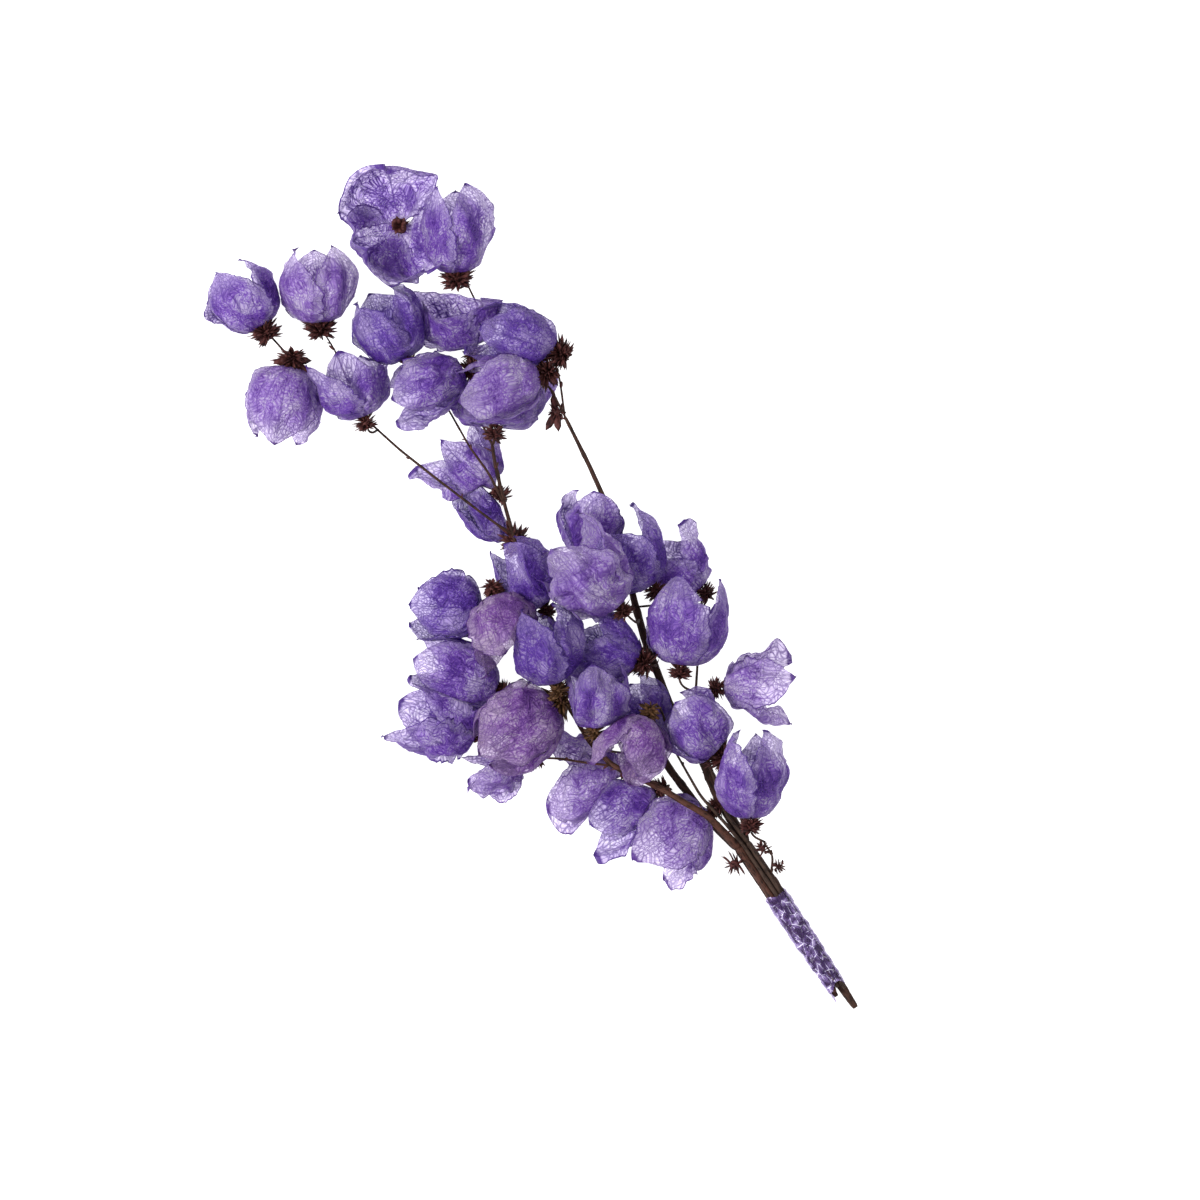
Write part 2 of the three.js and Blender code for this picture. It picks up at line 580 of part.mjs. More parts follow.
function solidOf(geometry) {
  const bare = geometry.clone();
  bare.deleteAttribute("normal");
  bare.deleteAttribute("uv");
  const merged = mergeVertices(bare, 1e-4);
  const solid = new wasm.Manifold(new wasm.Mesh({
    numProp: 3,
    vertProperties: new Float32Array(merged.attributes.position.array),
    triVerts: new Uint32Array(merged.index.array),
  }));
  if (solid.volume() < 0) throw new Error("a solid is inside out");
  return solid;
}

// The largest body of a solid, with any sealed hollow in it left out.
function wholeBody(solid) {
  const bodies = solid.decompose();
  let best = bodies[0];
  for (const body of bodies) if (body.volume() > best.volume()) best = body;
  return best;
}

function geometryOf(solid) {
  const mesh = solid.getMesh();
  const geometry = new THREE.BufferGeometry();
  const positions = new Float32Array(mesh.numVert * 3);
  for (let i = 0; i < mesh.numVert; i++) {
    for (let j = 0; j < 3; j++) positions[i * 3 + j] = mesh.vertProperties[i * mesh.numProp + j];
  }
  geometry.setAttribute("position", new THREE.BufferAttribute(positions, 3));
  geometry.setIndex(new THREE.BufferAttribute(new Uint32Array(mesh.triVerts), 1));
  geometry.computeVertexNormals();
  return geometry;
}

function fuse(geometries) {
  let solid = solidOf(geometries[0]);
  for (const geometry of geometries.slice(1)) solid = solid.add(solidOf(geometry));
  return wholeBody(solid);
}

function headGeometry(head, index) {
  const frame = FRAMES[index];
  const limits = headLimits(index);
  const draws = bractDraws(index);
  const bracts = draws.map((draw, k) => {
    const place = (s, t) => {
      const free = bractPoint(head, frame, draw, k, s, t);
      const pressed = pressInside(free.clone(), limits, SOFT_ZONE);
      pressed.z = Math.max(pressed.z, BRACT_THICKNESS / 2);
      return free.lerp(pressed, Math.min(1, free.distanceTo(frame.foot) / FOOT_HOLD));
    };
    return { rows: BRACT_ROWS.map((s) => BRACT_COLUMNS.map((t) => place(s, t))), tip: place(1, 0) };
  });
  const foot = frame.foot.clone().addScaledVector(frame.axis, FOOT_RISE);
  return thickened(headSkin(bracts, foot), BRACT_THICKNESS, FOOT_THICKNESS);
}

// A bristly tuft: a small ball with a pointed scale raised on every second face, which draws out
// at its back into the three-sided pedicel.
function tuftGeometry(tuft, index) {
  const random = randomStream(index * 613 + 5);
  const limits = tuftLimits(tuft);
  const { axis, side, up } = tuft.frame;
  const onBall = (polar, around, radius) => tuft.centre.clone()
    .addScaledVector(axis, Math.cos(polar) * radius)
    .addScaledVector(side, Math.sin(polar) * Math.cos(around) * radius)
    .addScaledVector(up, Math.sin(polar) * Math.sin(around) * radius);
  const points = [onBall(0, 0, TUFT_CORE)];
  TUFT_RINGS_DEG.forEach((ring, r) => {
    for (let i = 0; i < TUFT_SIDES; i++) {
      points.push(onBall(ring * DEG, (i + (r % 2) / 2) * 2 * Math.PI / TUFT_SIDES, TUFT_CORE));
    }
  });
  const at = (ring, i) => 1 + ring * TUFT_SIDES + ((i + TUFT_SIDES) % TUFT_SIDES);
  const faces = [];
  for (let i = 0; i < TUFT_SIDES; i++) faces.push([0, at(0, i), at(0, i + 1)]);
  for (let r = 0; r < TUFT_RINGS_DEG.length - 1; r++) {
    for (let i = 0; i < TUFT_SIDES; i++) {
      const shift = r % 2;
      const a = at(r, i);
      const b = at(r, i + 1);
      const c = at(r + 1, i + shift);
      const d = at(r + 1, i + shift - 1);
      faces.push([a, d, c]);
      const spread = Math.min(TUFT_SCALE_DEG[r] + tuft.open * SCALE_OPENING, SCALE_LARGEST_DEG);
      const polar = spread + (random() - 0.5) * SCALE_TURN_DEG;
      const around = (i + 0.5 + shift / 2 + (random() - 0.5) * SCALE_TWIST) * 2 * Math.PI / TUFT_SIDES;
      const length = tuft.reach * (SCALE_LEAST_REACH + random() * (1 - SCALE_LEAST_REACH));
      const tip = onBall(polar * DEG, around, length);
      pressInside(tip, limits, HARD_ZONE);
      tip.z = Math.max(tip.z, FLAT_FLOOR + SCALE_FLOOR);
      points.push(tip);
      const t = points.length - 1;
      faces.push([a, c, t], [c, b, t], [b, a, t]);
    }
  }
  const rim = TUFT_RINGS_DEG.length - 1;
  const turn = (rim % 2) / 2;
  const across = side.clone();
  const line = tuft.pedicel.points.slice().reverse();
  let before = points.length;
  line.forEach((point, i) => {
    const next = line[Math.min(i + 1, line.length - 1)];
    const ahead = next.clone().sub(line[Math.max(i - 1, 0)]).normalize();
    across.addScaledVector(ahead, -across.dot(ahead)).normalize();
    const over = across.clone().cross(ahead);
    for (let j = 0; j < PEDICEL_SIDES; j++) {
      const angle = (j * 2 + 0.5 + turn) * 2 * Math.PI / TUFT_SIDES;
      points.push(point.clone()
        .addScaledVector(across, Math.cos(angle) * PEDICEL_RADIUS)
        .addScaledVector(over, Math.sin(angle) * PEDICEL_RADIUS));
    }
    if (i === 0) {
      for (let j = 0; j < PEDICEL_SIDES; j++) {
        const a = before + j;
        const b = before + (j + 1) % PEDICEL_SIDES;
        faces.push([at(rim, 2 * j), a, at(rim, 2 * j + 1)]);
        faces.push([at(rim, 2 * j + 1), a, b], [at(rim, 2 * j + 1), b, at(rim, 2 * j + 2)]);
      }
      return;
    }
    for (let j = 0; j < PEDICEL_SIDES; j++) {
      const a = before + j;
      const b = before + (j + 1) % PEDICEL_SIDES;
      faces.push([a, a + PEDICEL_SIDES, b + PEDICEL_SIDES], [a, b + PEDICEL_SIDES, b]);
    }
    before += PEDICEL_SIDES;
  });
  faces.push([before, before + 2, before + 1]);
  if (signedVolume(points, faces) < 0) return surfaceGeometry(points, faces.map(([a, b, c]) => [a, c, b]));
  return surfaceGeometry(points, faces);
}

function signedVolume(points, faces) {
  let sum = 0;
  for (const [a, b, c] of faces) sum += points[a].dot(points[b].clone().cross(points[c]));
  return sum / 6;
}

// A tapering rod along a line, with flat ends.
function rodGeometry(line, sides) {
  const { points } = line;
  const last = points.length - 1;
  const ring = [];
  let across = null;
  points.forEach((point, i) => {
    const ahead = points[Math.min(i + 1, last)].clone().sub(points[Math.max(i - 1, 0)]).normalize();
    if (!across) {
      across = new THREE.Vector3(0, 0, 1).cross(ahead);
      if (across.length() < 0.1) across = new THREE.Vector3(1, 0, 0).cross(ahead);
    }
    across.addScaledVector(ahead, -across.dot(ahead)).normalize();
    const over = ahead.clone().cross(across);
    const radius = line.from + (line.to - line.from) * (i / last);
    for (let j = 0; j < sides; j++) {
      const angle = (j + 0.5) * 2 * Math.PI / sides;
      ring.push(point.clone()
        .addScaledVector(across, Math.cos(angle) * radius)
        .addScaledVector(over, Math.sin(angle) * radius));
    }
  });
  const faces = [];
  for (let i = 0; i < last; i++) {
    for (let j = 0; j < sides; j++) {
      const a = i * sides + j;
      const b = i * sides + (j + 1) % sides;
      faces.push([a, b, b + sides], [a, b + sides, a + sides]);
    }
  }
  for (let j = 1; j < sides - 1; j++) {
    faces.push([0, j + 1, j]);
    faces.push([last * sides, last * sides + j, last * sides + j + 1]);
  }
  return surfaceGeometry(ring, faces);
}

function stemGeometry(key) {
  const parts = LINES[key].map((line) => rodGeometry(line, STEM_SIDES));
  TUFTS.forEach((tuft, i) => {
    if (tuft.stem === key) parts.push(tuftGeometry(tuft, i));
  });
  return geometryOf(fuse(parts));
}

// The outline of the film across the bundle, a rounded box, at the given angle.
function filmOutline(angle, halfWidth, halfHeight) {
  const c = Math.cos(angle);
  const s = Math.sin(angle);
  const sum = Math.pow(Math.abs(c), FILM_SQUARENESS) + Math.pow(Math.abs(s), FILM_SQUARENESS);
  const size = Math.pow(sum, -1 / FILM_SQUARENESS);
  return [c * size * halfWidth, s * size * halfHeight];
}

function filmGeometry() {
  const random = randomStream(31);
  const points = [];
  for (const wall of [0, 1]) {
    for (let r = 0; r <= FILM_ROWS; r++) {
      for (let i = 0; i < FILM_SIDES; i++) {
        const angle = i * 2 * Math.PI / FILM_SIDES;
        const fold = wall ? FILM_WALL + (random() - 0.5) * FILM_FOLDS : 0;
        const [across, rise] = filmOutline(
          angle, FILM_INNER_HALF_WIDTH + fold, FILM_INNER_HALF_HEIGHT + fold,
        );
        const along = BUNDLE_LENGTH * r / FILM_ROWS;
        const point = bundlePoint(along, FILM_CENTRE_ACROSS + across, FILM_CENTRE_HEIGHT + rise);
        if (wall && rise < -FILM_INNER_HALF_HEIGHT * 0.9) point.z = FLAT_FLOOR;
        points.push(point);
      }
    }
  }
  const at = (wall, r, i) => (wall * (FILM_ROWS + 1) + r) * FILM_SIDES + (i % FILM_SIDES);
  const faces = [];
  for (let r = 0; r < FILM_ROWS; r++) {
    for (let i = 0; i < FILM_SIDES; i++) {
      faces.push([at(1, r, i), at(1, r, i + 1), at(1, r + 1, i + 1)]);
      faces.push([at(1, r, i), at(1, r + 1, i + 1), at(1, r + 1, i)]);
      faces.push([at(0, r, i), at(0, r + 1, i + 1), at(0, r, i + 1)]);
      faces.push([at(0, r, i), at(0, r + 1, i), at(0, r + 1, i + 1)]);
    }
  }
  for (let i = 0; i < FILM_SIDES; i++) {
    const r = FILM_ROWS;
    faces.push([at(0, 0, i), at(0, 0, i + 1), at(1, 0, i + 1)]);
    faces.push([at(0, 0, i), at(1, 0, i + 1), at(1, 0, i)]);
    faces.push([at(0, r, i), at(1, r, i + 1), at(0, r, i + 1)]);
    faces.push([at(0, r, i), at(1, r, i), at(1, r, i + 1)]);
  }
  if (signedVolume(points, faces) < 0) return surfaceGeometry(points, faces.map(([a, b, c]) => [a, c, b]));
  return surfaceGeometry(points, faces);
}

function namedMesh(name, geometry, colour, roughness) {
  const material = new THREE.MeshStandardMaterial({ color: colour, roughness, metalness: 0 });
  const mesh = new THREE.Mesh(geometry, material);
  mesh.name = name;
  return mesh;
}

const layout = new THREE.Group();
layout.rotation.z = BUNCH_TURN_DEG * DEG;
layout.position.set(-BOX_CENTRE_X, -BOX_CENTRE_Y, 0);
HEADS.forEach((head, i) => {
  const name = `head_${String(i + 1).padStart(2, "0")}`;
  layout.add(namedMesh(name, headGeometry(head, i), HEAD_COLOUR, HEAD_ROUGHNESS));
});
for (const key of Object.keys(STEMS)) {
  layout.add(namedMesh(STEMS[key].name, stemGeometry(key), STEMS[key].colour, STEM_ROUGHNESS));
}
layout.add(namedMesh("binding_film", geometryOf(solidOf(filmGeometry())), FILM_COLOUR, FILM_ROUGHNESS));

const bunch = new THREE.Group();
bunch.add(layout);

export default bunch;
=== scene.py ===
import math
from collections import namedtuple

import bpy
import numpy as np
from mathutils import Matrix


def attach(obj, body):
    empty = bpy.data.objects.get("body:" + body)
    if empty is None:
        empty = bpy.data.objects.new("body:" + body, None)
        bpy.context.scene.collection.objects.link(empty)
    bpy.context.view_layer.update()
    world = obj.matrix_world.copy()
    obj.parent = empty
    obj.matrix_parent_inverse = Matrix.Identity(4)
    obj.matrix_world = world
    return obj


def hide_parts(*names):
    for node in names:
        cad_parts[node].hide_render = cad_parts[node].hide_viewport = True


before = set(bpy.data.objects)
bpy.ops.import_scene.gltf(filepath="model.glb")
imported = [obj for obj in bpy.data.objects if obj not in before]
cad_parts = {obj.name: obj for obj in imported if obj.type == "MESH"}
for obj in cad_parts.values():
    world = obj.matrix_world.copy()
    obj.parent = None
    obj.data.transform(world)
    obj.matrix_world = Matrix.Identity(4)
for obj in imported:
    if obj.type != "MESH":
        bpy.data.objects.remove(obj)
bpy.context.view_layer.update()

# The turn in degrees, shift and scale from the layout to the part's own frame.
BUNCH_TURN_DEG = -30.5
BOX_CENTRE = (-20.5, 112.0)
MM = 0.001

# Angles: a full turn, the step from scale to scale round a tuft, and how far waves are shifted.
FULL_TURN = 2 * math.pi
GOLDEN_ANGLE = math.pi * (3 - math.sqrt(5))
PHASE_RANGE = 6.3

# Gaps, and how softly things press on each other. Height counts more than distance aside, and the
# foot of a head stays where it is.
HEAD_OVERLAP = 2.4
CLEARANCE = 0.3
NEIGHBOUR_REACH = 1
SOFT_ZONE = 3.0
HARD_ZONE = 0.01
PRESS_ROUNDS = 3
LEVEL_PRESS = 5.0
FOOT_HOLD = 4.0

# The round balloon that the bracts of a head lie on, from the foot to the tip.
BRACT_COUNT = 3
BRACT_SPACING_DEG = 120
BRACT_THICKNESS = 0.16
BRACT_ROWS = 46
BRACT_COLUMNS = 33
FIRST_ROW = 0.006
FOOT_AHEAD = 1.2
TIP_ANGLE_DEG = 153
FOOT_FULLNESS = 0.68
BALLOON_SHARE = 0.89
CLIMB_SHARE = 0.97
ARC_SHARE = 1.25

# The outline of a bract: how far it reaches round the balloon, its shoulder and its point.
BRACT_REACH_DEG = 74
SHOULDER_START = 0.16
SHOULDER_RISE = 0.9
SHOULDER_POWER = 0.6
POINT_START = 3.6
POINT_POWER = 0.8

# Heads of a form of their own, by number: crushed ones, one that is broad from the foot on, one
# that stays open like a tulip, some whose bracts are turned or sized apart, and wide open ones.
CRUSHED = (4, 8, 12, 13, 17, 18, 21, 26, 31, 34, 35, 36, 37)
CRUSHED_TIP_DEG = 136
BROAD = (12,)
BROAD_FULLNESS = 0.3
TULIPS = (31,)
TULIP_FULLNESS = 0.95
TULIP_TIP_DEG = 118
BRACT_TURNS = {5: (35, 75, 80)}
BRACT_SIZES = {5: (1.02, 1.06, 0.9), 8: (1.22, 1.22, 1.22), 12: (1.2, 1.2, 1.2)}
WIDE_OPENING = 20
WIDE_REACH = 1.15
WIDE_TEARS = 0.4

# Waves and tears along a margin, and the slow ruffles of the whole bract.
MARGIN_WAVES = 7
MARGIN_PITCH = 2.5
MARGIN_PITCH_STEP = 3.1
MARGIN_DEPTH = 0.035
MARGIN_FADE = 0.45
MARGIN_POWER = 1.5
TEARS = 2
TEAR_PLACE = (0.25, 0.9)
TEAR_LEAST = 0.05
TEAR_MORE = 0.2
TEAR_WIDTH = (0.008, 0.020)
SPIRAL_LEAD = 0.05
RUFFLE = 0.07
RUFFLE_PITCH = 4.2
RUFFLE_SLANT = 1.3
RIPPLE_SHARE = 0.4
RIPPLE_PITCH = 7.3

# Folds and waves: how many, the shortest and the longest from one to the next, and how far they
# turn from each other. A fold bends a little on its way.
PLEATS = (4, 8, 18, 1.1)
CRUMPLES = (3, 10, 20)
FINE_WRINKLES = (5, 3.2, 8, 1.4)
FINEST_WRINKLES = (5, 1.9, 3.4, 2.2)
NET_WAVES = (5, 4, 12)
FILM_FOLDS = (4, 5, 10)
FILM_CREASES = (5, 1.8, 4)
FOLD_BEND = 0.35

# How deep the folds of a bract are, and how far from the foot they begin.
FOLD_RANGE = (0.8, 1.6)
CRUSHED_FOLDS = 2.5
PLEAT_DEPTH = 1.1
CRUMPLE_DEPTH = 0.9
FOLDS_START = 0.25
FINE_DEPTH = 0.32
FINEST_DEPTH = 0.12
WRINKLES_START = 6

# One margin flares out, and the tip curls out and reaches ahead. Each pair of ranges is for a
# sound head and for a crushed one.
FLARES = ((1.4, 3.4), (1.4, 6.0))
FLARE_START = 0.45
FLARE_OTHER_SIDE = 0.15
FLARE_WAVE = 0.4
FLARE_PITCH = 6
CURLS = ((-2.4, 1.0), (-1.0, 4.0))
TIPS_AHEAD = ((0.3, 1.5), (0.3, 4.3))
CURL_START = 0.75

# The net of veins: how far it wanders, how it is stretched, and where on the net a bract lies.
NET_WANDER = 0.9
NET_STRETCH = 0.8
NET_SHIFT = 40

# The ball and the dried flower stalks in the foot of a head, for a closed head and for one that is
# wide open.
FOOT_BALLS = ((0.8, 2.0, 2.0), (0.9, 2.6, 3.6))
FOOT_BALL_AHEAD = (0.3, 1.6)
STALKS = (4, 12)
STALK_LENGTHS = ((5, 9), (6, 10))
STALK_WIDTH = (1.7, 2.4)

# How thick and bent a stalk is, how far it spreads from the head's line and strays from its place.
STALK_THICKNESS = 1.1
STALK_BEND = 0.8
STALK_SPREAD = (0.2, 0.55)
STALK_JITTER = 0.5

# The bristly tuft behind a head, and how far it gives way to other heads. Its reach and its number
# of scales go by its size, and tufts that carry no head have size 0.
TUFT_SETBACK = 2.9
TUFT_LEAST_STAND = 2.6
TUFT_STAND_SHARE = 0.5
TUFT_PRESS = 0.35
TUFT_REACH = {1: 5.8, 2: 7.6}
TUFT_SCALES = {0: 22, 1: 84, 2: 130}
GOLDEN_TUFTS = (24, 27, 28, 29)
LEAFY_TUFTS = (3, 41)
CORE_SHARE = 0.28
CORE_LARGEST = 1.9
CORE_STRETCH = 1.1

# Its scales stand at growing angles from its front to its back. At the front of a large tuft they
# are longer.
SCALE_FIRST_DEG = 34
SCALE_SPAN_DEG = 92
SCALE_LAST_DEG = 150
SCALE_SWAY_DEG = (-13, 13)
SCALE_SHIFT = (-0.25, 0.25)
SCALE_OPEN_SHARE = 0.5
SCALE_ROOT = 0.8
SCALE_ROOT_FRONT = 0.9
SCALE_ROOT_SPAN = 2.4
SCALE_REACH = (0.62, 1.04)
SCALE_TWIST = (-1.3, 1.3)
SCALE_BEND = (-0.6, 0.6)
SCALE_WIDTH = 0.9
SCALE_WIDTH_REACH = 6
SCALE_THICKNESS = 0.75
SCALE_LOWEST = 0.4
LARGE_TUFT = 2
LARGE_FRONT = 1.35
LARGE_STRETCH = 1.28

# The broad leaf-like scales of some tufts (lean in degrees and length), their width, thickness and
# bend, and how far they rise.
LEAFY_SCALES = ((62, 8.5), (98, 7.5), (-70, 7.0))
LEAFY_FORM = (3.2, 0.5, 0.8)
LEAFY_RISE = 0.25

# A pointed blade: its outline from the foot on, how it thins, and the lowest place of its points.
BLADE_STEPS = 3
BLADE_START = 0.18
BLADE_RISE = 0.75
BLADE_POWER = 0.8
BLADE_THIN = 0.6
LOWEST = 0.03

# Pedicels, the thin stalks that carry the heads: their thickness, the room that others leave them,
# how deep they root in a stem, and how they bend on their way.
PEDICEL_RADIUS = 0.5
PEDICEL_ROOM = 0.6
PEDICEL_ROOT = 0.9
PEDICEL_LEAD = 0.35
PEDICEL_SIDES = 8
SHORT_PEDICEL = 3
SHORT_SHARES = (0, 1)
PEDICEL_SHARES = (0, 0.4, 0.75, 1)

# Bark: the sides and the step of a rod, how stems thin out on their way and at their cut ends, and
# their ridges, knots and roughness.
STEM_SIDES = 12
STEM_STEP = 1.3
STEM_SMOOTHINGS = 4
FORK_THIN = 0.7
FORK_THINNING = 0.7
MAIN_THINNING = 1.1
BARK_THICKEN = 1.2
WIRY_RADIUS = 1.2
CUT_END_SHARE = 0.55
CUT_END_REACH = 12
ROD_END = 0.8
RIDGES = 3
RIDGE_DEPTH = 0.05
RIDGE_TWIST = 0.12
KNOT_EVERY = 22
KNOT_SIZE = 0.16
KNOT_LENGTH = 1.3
BARK_LEVEL = 0.93
BARK_ROUGH = 0.05
BARK_LOWEST = 0.05
BARK_SHIFT = 50

# Small dry stubs on the bark: how many places for them the bundle has and how far apart, how often
# one grows, its lean and length, and its width, thickness and bend.
STUBS = 4
STUB_STEP = 5
SCRAP_SHARE = 0.85
SCRAP_LEAN = (0.5, 1.2)
SCRAP_LENGTH = (1.2, 3.8)
SCRAP_FORM = (1.5, 0.8, 0.3)

# The binding, a flattened tube of crumpled film round the stems, with a point at its lower end.
FILM_WALL = 0.3
FILM_INNER_HALF_WIDTH = 4.25
FILM_INNER_HALF_HEIGHT = 4.8
FILM_CENTRE_ACROSS = 0.1
FILM_CENTRE_HEIGHT = 5.4
FILM_SIDES = 96
FILM_ROWS = 130
FILM_SQUARENESS = 3
FILM_EASE = 0.15
FILM_FOLD_DEPTH = 0.36
FILM_CREASE_SHARE = 0.45
# How far the film's colour follows its folds: painted shade in the hollows and a painted highlight on the
# crests.
FILM_FOLD_SHADE = 0.35
FILM_LAP = 0.25
FILM_TURNS_PER_MM = 0.09
FILM_TAPER = 1.6
FILM_POINT = 7
FILM_POINT_ANGLE = 3.4
FILM_POINT_SPREAD = 0.55
FILM_END_WAVE = 1.2
FILM_START_WAVES = (0.7, 0.5)
FILM_LOWEST = (0.25, 0.05)

# The bundle's line, from the place where the stems meet to the two ends of the film.
BUNDLE_START = (16, -20)
BUNDLE_END = (40, -56)
BUNDLE_LENGTH = math.hypot(BUNDLE_END[0] - BUNDLE_START[0], BUNDLE_END[1] - BUNDLE_START[1])
BUNDLE_LOOSE = 24

# The camera looks straight down on this place of the layout, from this high. It sees things that
# are less than VIEW_END metres away.
VIEW_PLACE = (-54, 98)
VIEW_WIDTH = 480
VIEW_HEIGHT = 3600
SENSOR_WIDTH = 36
VIEW_END = 20

# The floor, the even white sky and two soft lights (name, place, size and power), in metres.
FLOOR_HALF = 4.0
SKY_STRENGTH = 0.95
LIGHTS = (("key", (-1.0, 0.7, 1.3), 0.5, 42), ("fill", (1.1, -0.5, 1.4), 1.2, 5))

# Colours of the bracts: deep, middle and pale.
BRACT_COLOURS = {
    "violet": ((0.070, 0.018, 0.230), (0.305, 0.150, 0.580), (0.780, 0.670, 0.900)),
    "deep": ((0.050, 0.013, 0.200), (0.210, 0.092, 0.500), (0.600, 0.470, 0.800)),
    "lavender": ((0.105, 0.036, 0.265), (0.420, 0.260, 0.650), (0.860, 0.770, 0.930)),
    "mauve": ((0.080, 0.021, 0.175), (0.345, 0.160, 0.505), (0.760, 0.610, 0.800)),
}

# Barks and dried scales: dark and light colour, fineness of the grain and roughness.
DRY_LOOKS = {
    "bark_dark": ((0.007, 0.003, 0.002), (0.038, 0.016, 0.011), 350.0, 0.75),
    "bark_reddish": ((0.012, 0.005, 0.003), (0.070, 0.027, 0.018), 350.0, 0.7),
    "bark_grey": ((0.009, 0.005, 0.004), (0.048, 0.028, 0.020), 350.0, 0.75),
    "bark_brown": ((0.008, 0.004, 0.003), (0.045, 0.020, 0.014), 350.0, 0.75),
    "dried_scales": ((0.012, 0.004, 0.005), (0.075, 0.022, 0.020), 500.0, 0.6),
    "dried_scales_golden": ((0.020, 0.008, 0.004), (0.125, 0.062, 0.028), 500.0, 0.6),
}

# The film: its colours from dark to pale, its glints, and the tint of what shows through it.
FILM_COLOURS = [(0.42, (0.075, 0.040, 0.155)), (0.60, (0.220, 0.145, 0.370)), (0.78, (0.58, 0.51, 0.72))]
FILM_GLINT = (0.86, 0.84, 0.95)
FILM_TINT = (0.80, 0.75, 0.88)

Head = namedtuple("Head", "foot toward rise long wide opening roll stem tuft colour")
Stem = namedtuple("Stem", "node slot radius across height beyond routes")
BareTuft = namedtuple("BareTuft", "foot toward rise stem reach")
Rod = namedtuple("Rod", "start end radius stem owner")
Tuft = namedtuple("Tuft", "owner stem size reach axes opening line centre")

# The heads: foot place, direction of the tip in degrees, rise, length, width, opening, roll about
# the head's own line, stem, size of the tuft and colour.
HEADS = [Head(*row) for row in [
    ((-188, 206, 14), 122, 0, 28, 30, 3, 60, "A", 2, "violet"),
    ((-165.5, 207.5, 14), 95, 5, 30, 32, 3, 30, "A", 2, "lavender"),
    ((-177, 192, 14), -101, 0, 31, 33, 4, 90, "A", 2, "lavender"),
    ((-148, 170, 16), 111, 5, 26, 29, 8, 30, "A", 1, "violet"),
    ((-134, 247, 10), 130, 86, 29, 47, 35, 45, "A", 1, "violet"),
    ((-111, 227, 20), 93, 5, 35, 30, 2, 20, "A", 2, "violet"),
    ((-130, 193, 18), 118, 5, 31, 33, 4, 40, "A", 1, "deep"),
    ((-105, 198, 15), 110, 8, 28, 32, 8, 50, "A", 1, "violet"),
    ((-107, 189, 19), 201, 5, 33, 28, 4, 90, "A", 1, "violet"),
    ((-71, 196, 25), 162, 5, 34, 30, 6, 90, "D", 2, "deep"),
    ((-77, 188, 27), 195, 5, 34, 28, 4, 70, "D", 2, "lavender"),
    ((-96, 166, 14), 88, -12, 27, 38, 14, 90, "A", 1, "violet"),
    ((-95, 141, 9), 136, 0, 30, 32, 8, 90, "A", 1, "violet"),
    ((-88.5, 122, 9), 120, 0, 31, 30, 9, 90, "A", 2, "deep"),
    ((-57, 114, 13), 88, 0, 27, 29, 3, 90, "D", 1, "violet"),
    ((-33, 103, 20), 125, 5, 32, 33, 10, 60, "D", 1, "deep"),
    ((-13, 102, 13), 135, 0, 26, 27, 12, 40, "E", 1, "violet"),
    ((-46, 95, 30), 133, 8, 38, 36, 5, 75, "D", 1, "lavender"),
    ((-76, 95, 23), 125, 5, 31, 32, 5, 90, "A", 1, "deep"),
    ((-100, 94, 15), 176, 0, 28, 31, 3, 90, "B", 1, "deep"),
    ((-96, 101, 28), -72, 8, 31, 31, 10, 90, "B", 1, "mauve"),
    ((-22, 71, 21), 83, 0, 36, 36, 3, 60, "E", 1, "violet"),
    ((-38, 74, 23), 158, 5, 31, 31, 7, 60, "D", 2, "deep"),
    ((-71, 64, 30), 105, 5, 33, 34, 3, 45, "B", 1, "deep"),
    ((-94, 62, 15), 160, 0, 37, 31, 4, 90, "B", 1, "violet"),
    ((-102, 44, 15), 157, 0, 33, 36, 6, 30, "B", 1, "violet"),
    ((-71, 57, 23), 213, 6, 37, 36, 2, 90, "B", 2, "mauve"),
    ((-56, 47, 25), 92, 14, 29, 33, 4, 90, "C", 1, "violet"),
    ((-35, 52, 27), -115, 12, 27, 28, 12, 60, "C", 1, "mauve"),
    ((-6, 36.5, 20), 133, 5, 31, 29, 5, 90, "F", 2, "violet"),
    ((-6, 63, 13), 3, 0, 27, 27, 8, 75, "E", 1, "lavender"),
    ((6, 10, 21), 92, 0, 37, 32, 4, 30, "F", 1, "violet"),
    ((-30, 44, 14), 120, 0, 24, 24, 5, 90, "C", 1, "deep"),
    ((-82, 34.5, 11), 190, 0, 25, 23, 8, 60, "B", 1, "lavender"),
    ((-44, 29, 8), 188, 0, 34, 36, 12, 60, "B", 1, "lavender"),
    ((-31, 22, 8), 206, 0, 31, 30, 8, 90, "B", 1, "violet"),
    ((-9, 14.5, 9.3), 210, 0, 34, 35, 10, 90, "B", 1, "lavender"),
]]

